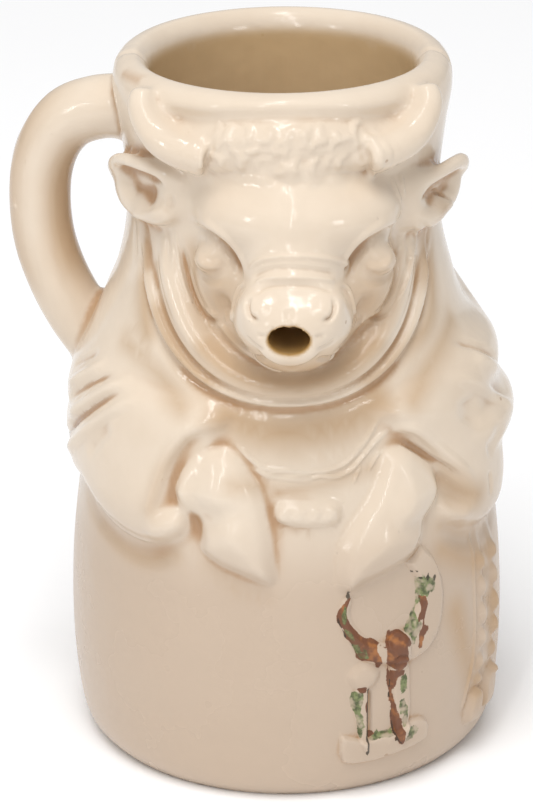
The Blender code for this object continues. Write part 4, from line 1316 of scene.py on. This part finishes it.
def fired_surface():
    """What firing leaves on glaze and clay alike: mottling, specks and a slightly wavy skin."""
    tree = bpy.data.node_groups.new("fired_surface", 'ShaderNodeTree')
    for name in ("Mottling", "Specks", "Ragged", "Streaks"):
        tree.interface.new_socket(name=name, in_out='OUTPUT', socket_type='NodeSocketFloat')
    tree.interface.new_socket(name="Normal", in_out='OUTPUT', socket_type='NodeSocketVector')
    wave = tree.interface.new_socket(name="Wave", in_out='INPUT', socket_type='NodeSocketFloat')
    wave.default_value = 0.2
    inputs = tree.nodes.new('NodeGroupInput')
    outputs = tree.nodes.new('NodeGroupOutput')
    place = new_node(tree, 'ShaderNodeTexCoord').outputs['Object']
    cells = new_node(tree, 'ShaderNodeTexVoronoi', (('Vector', place), ('Scale', 260.0)), feature='F1')
    chance = new_node(tree, 'ShaderNodeSeparateColor', ((0, cells.outputs['Color']),))
    rare = spread(tree, chance.outputs[0], 0.955, 0.96)
    size = spread(tree, chance.outputs[1], 0.0, 1.0, 0.05, 0.13)
    inside_speck = reckoned(tree, 'LESS_THAN', cells.outputs['Distance'], size)
    swells = noise(tree, place, 95.0, 2.0, 0.5)
    grain = noise(tree, place, 620.0, 1.0, 0.5)
    lumps = reckoned(tree, 'ADD', swells, part_of(tree, grain, 0.06))
    bump = new_node(tree, 'ShaderNodeBump', (('Strength', inputs.outputs["Wave"]), ('Distance', 0.0012),
                                             ('Height', lumps)))
    for name, value in (("Mottling", spread(tree, noise(tree, place, 34.0, 4.0, 0.6), 0.3, 0.7)),
                        ("Specks", reckoned(tree, 'MULTIPLY', rare, inside_speck)),
                        ("Ragged", noise(tree, place, 900.0, 3.0, 0.65)),
                        ("Streaks", noise(tree, place, 430.0, 2.0, 0.6)),
                        ("Normal", bump.outputs[0])):
        tree.links.new(value, outputs.inputs[name])
    return tree


def principled(name, colour, roughness):
    """A material with its shader's own constants."""
    material = bpy.data.materials.new(name)
    material.use_nodes = True
    shader = material.node_tree.nodes["Principled BSDF"]
    shader.inputs["Base Color"].default_value = (*colour, 1)
    shader.inputs["Roughness"].default_value = roughness
    return material


def worn(tree, paint, ragged, left):
    """Paint with ragged edges and gaps where it has worn off."""
    edge = reckoned(tree, 'SUBTRACT', paint, part_of(tree, ragged, 0.9))
    return part_of(tree, spread(tree, edge, 0.0, 0.14), left)


def cream_glaze(fired):
    """Warm cream glaze, tan where it pools, with painted shade in hollows, over wide areas, in the lining and
    in the mouth, and worn paint on the keys.
    """
    material = principled("cream_glaze", CREAM, 0.14)
    tree = material.node_tree
    shader = tree.nodes["Principled BSDF"]
    surface = new_node(tree, 'ShaderNodeGroup', node_tree=fired)
    surface.inputs["Wave"].default_value = 0.3
    mottling = surface.outputs["Mottling"]
    ragged = surface.outputs["Ragged"]
    streaks = surface.outputs["Streaks"]
    robe = mask(tree, "robe")
    gathered_glaze_and_shade = part_of(tree, mask(tree, "pooled_and_shaded"), spread(tree, mottling, 0.0, 1.0, 0.85, 1.05))
    rust = worn(tree, mask(tree, "rust"), ragged, 0.94)
    green = worn(tree, mask(tree, "green"), ragged, spread(tree, streaks, 0.36, 0.56, 0.25, 0.95))
    dark = worn(tree, mask(tree, "dark"), ragged, 0.85)

    # Each coat lies on those before it: how much of it there is, and its colour
    colour = CREAM
    for share, coat in (
            (part_of(tree, mottling, 0.5), PALE),
            (part_of(tree, robe, 0.85), ROBE_CREAM),
            (part_of(tree, mask(tree, "raised"), 0.45), PALE),
            # Painted shade over wide areas
            (part_of(tree, mask(tree, "shade_wash"), 0.85), SHADE_TAN),
            # Tan of the real pooled glaze, deepened into painted shade in hollows and creases
            (spread(tree, gathered_glaze_and_shade, 0.05, 1.0, 0.0, 0.84), TAN),
            (spread(tree, gathered_glaze_and_shade, 0.8, 1.4, 0.0, 0.6), OCHRE),
            (part_of(tree, mask(tree, "stains"), 0.5), TAN),
            (part_of(tree, surface.outputs["Specks"], 0.42), OCHRE),
            # Painted shade inside the jug and in the mouth
            (part_of(tree, mask(tree, "lining_shade"), 0.9), LINING_SHADE),
            (part_of(tree, mask(tree, "throat_shade"), 0.9), THROAT_SHADE),
            (rust, mixed(tree, spread(tree, streaks, 0.5, 0.74), RUST_PAINT, ORANGE_PAINT)),
            (green, mixed(tree, spread(tree, ragged, 0.35, 0.65), GREEN_PAINT, LEAF_PAINT)),
            (dark, DARK_PAINT)):
        colour = mixed(tree, share, colour, coat)
    tree.links.new(colour, shader.inputs["Base Color"])

    paint = reckoned(tree, 'MAXIMUM', green, reckoned(tree, 'MAXIMUM', rust, dark))
    roughness = 0.12
    for layer, added in ((robe, 0.13), (paint, 0.22), (mottling, 0.05)):
        roughness = reckoned(tree, 'ADD', roughness, part_of(tree, layer, added))
    tree.links.new(roughness, shader.inputs["Roughness"])
    tree.links.new(surface.outputs["Normal"], shader.inputs["Normal"])
    return material


def bare_clay(fired):
    """Unglazed clay of the foot."""
    material = principled("bare_clay", CLAY, 0.75)
    tree = material.node_tree
    shader = tree.nodes["Principled BSDF"]
    surface = new_node(tree, 'ShaderNodeGroup', node_tree=fired)
    surface.inputs["Wave"].default_value = 0.5
    colour = mixed(tree, surface.outputs["Mottling"], DAMP_CLAY, CLAY)
    colour = mixed(tree, part_of(tree, surface.outputs["Specks"], 0.5), colour, OCHRE)
    tree.links.new(colour, shader.inputs["Base Color"])
    tree.links.new(surface.outputs["Normal"], shader.inputs["Normal"])
    return material


def glazed(thing):
    """Glaze all over, and bare clay on the flat underside."""
    fired = fired_surface()
    thing.data.materials.clear()
    thing.data.materials.append(cream_glaze(fired))
    thing.data.materials.append(bare_clay(fired))
    mesh = thing.data
    centres = np.empty(len(mesh.polygons) * 3, np.float32)
    mesh.polygons.foreach_get("center", centres)
    under = centres.reshape(-1, 3)[:, 2] < 0.05 * STEP
    mesh.polygons.foreach_set("material_index", under.astype(np.int32))
    mesh.shade_smooth()


# The studio

FLOOR_SIZE = 3.0


def studio_floor():
    deselect()
    bpy.ops.mesh.primitive_plane_add(size=FLOOR_SIZE, location=(0, 0, 0))
    floor = bpy.context.object
    floor.name = "studio_floor"
    material = principled("studio_floor", (0.965, 0.965, 0.97), 0.8)
    tree = material.node_tree
    place = new_node(tree, 'ShaderNodeTexCoord').outputs['Object']
    paper = mixed(tree, noise(tree, place, 9.0), (0.955, 0.955, 0.96), (0.97, 0.97, 0.975))
    tree.links.new(paper, tree.nodes["Principled BSDF"].inputs["Base Color"])
    tree.nodes["Principled BSDF"].inputs["Specular IOR Level"].default_value = 0.1
    floor.data.materials.append(material)


# Each lamp's azimuth, elevation, distance, width, height and power
LAMPS = (
    ("key_light", -46, 22, 0.9, 0.06, 0.24, 0.5),
    ("low_strip", -13, 26, 0.9, 0.02, 0.40, 0.42),
    ("middle_strip", -12, 52, 0.9, 0.02, 0.40, 0.42),
    ("high_strip", -9, 78, 0.9, 0.02, 0.40, 0.42),
    ("side_strip", 0, 50, 0.9, 0.016, 0.4, 0.3),
    ("side_light", 36, 18, 0.9, 0.05, 0.2, 0.3),
    ("rim_light", -5, 80, 1.0, 0.1, 0.1, 0.3))


def soft_light(name, azimuth, elevation, distance, width, height, power):
    """A soft box that looks at the middle of the figure."""
    aim = Vector((0, 0, 0.5 * STEPS_HIGH * STEP))
    a = math.radians(azimuth)
    e = math.radians(elevation)
    back = Vector((math.sin(a) * math.cos(e), -math.cos(a) * math.cos(e), math.sin(e)))
    deselect()
    bpy.ops.object.light_add(type='AREA', location=aim + back * distance,
                             rotation=back.to_track_quat('Z', 'Y').to_euler())
    lamp = bpy.context.object
    lamp.name = name
    lamp.data.shape = 'RECTANGLE'
    lamp.data.size = width
    lamp.data.size_y = height
    lamp.data.energy = power
    return lamp


def studio_lights():
    for name, *place in LAMPS:
        soft_light(name, *place)
    overhead = soft_light("overhead_light", -14, 67, 4.2, 3.0, 3.0, 112.0)
    overhead.visible_glossy = False
    world = bpy.data.worlds.new("studio")
    world.use_nodes = True
    world.node_tree.nodes["Background"].inputs["Color"].default_value = (1, 1, 1, 1)
    world.node_tree.nodes["Background"].inputs["Strength"].default_value = 0.5
    bpy.context.scene.world = world


CAMERA_PLACE = (0.0, -0.605, 0.313)
CAMERA_PITCH = 22.1
CAMERA_PAN = 0.349
CAMERA_ROLL = -0.6
PICTURE_HEIGHT = 804
FOCAL_PIXELS = 3276


def camera():
    aim = Matrix.Rotation(0, 3, 'Z')
    for angle, axis in ((CAMERA_PAN, 'Z'), (90 - CAMERA_PITCH, 'X'), (CAMERA_ROLL, 'Z')):
        aim = aim @ Matrix.Rotation(math.radians(angle), 3, axis)
    deselect()
    bpy.ops.object.camera_add(location=CAMERA_PLACE, rotation=aim.to_euler())
    view = bpy.context.object
    view.data.sensor_fit = 'VERTICAL'
    view.data.sensor_height = 36
    view.data.lens = 36 * FOCAL_PIXELS / PICTURE_HEIGHT
    view.data.clip_start = 0.01
    bpy.context.scene.camera = view


creamer, linings = modelled()
pooled_glaze_and_shade(creamer)
thinned(creamer)
marked(creamer, linings)
glazed(creamer)
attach(creamer, "root")
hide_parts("creamer")

studio_floor()
studio_lights()
camera()
bpy.context.scene.view_settings.view_transform = 'Standard'
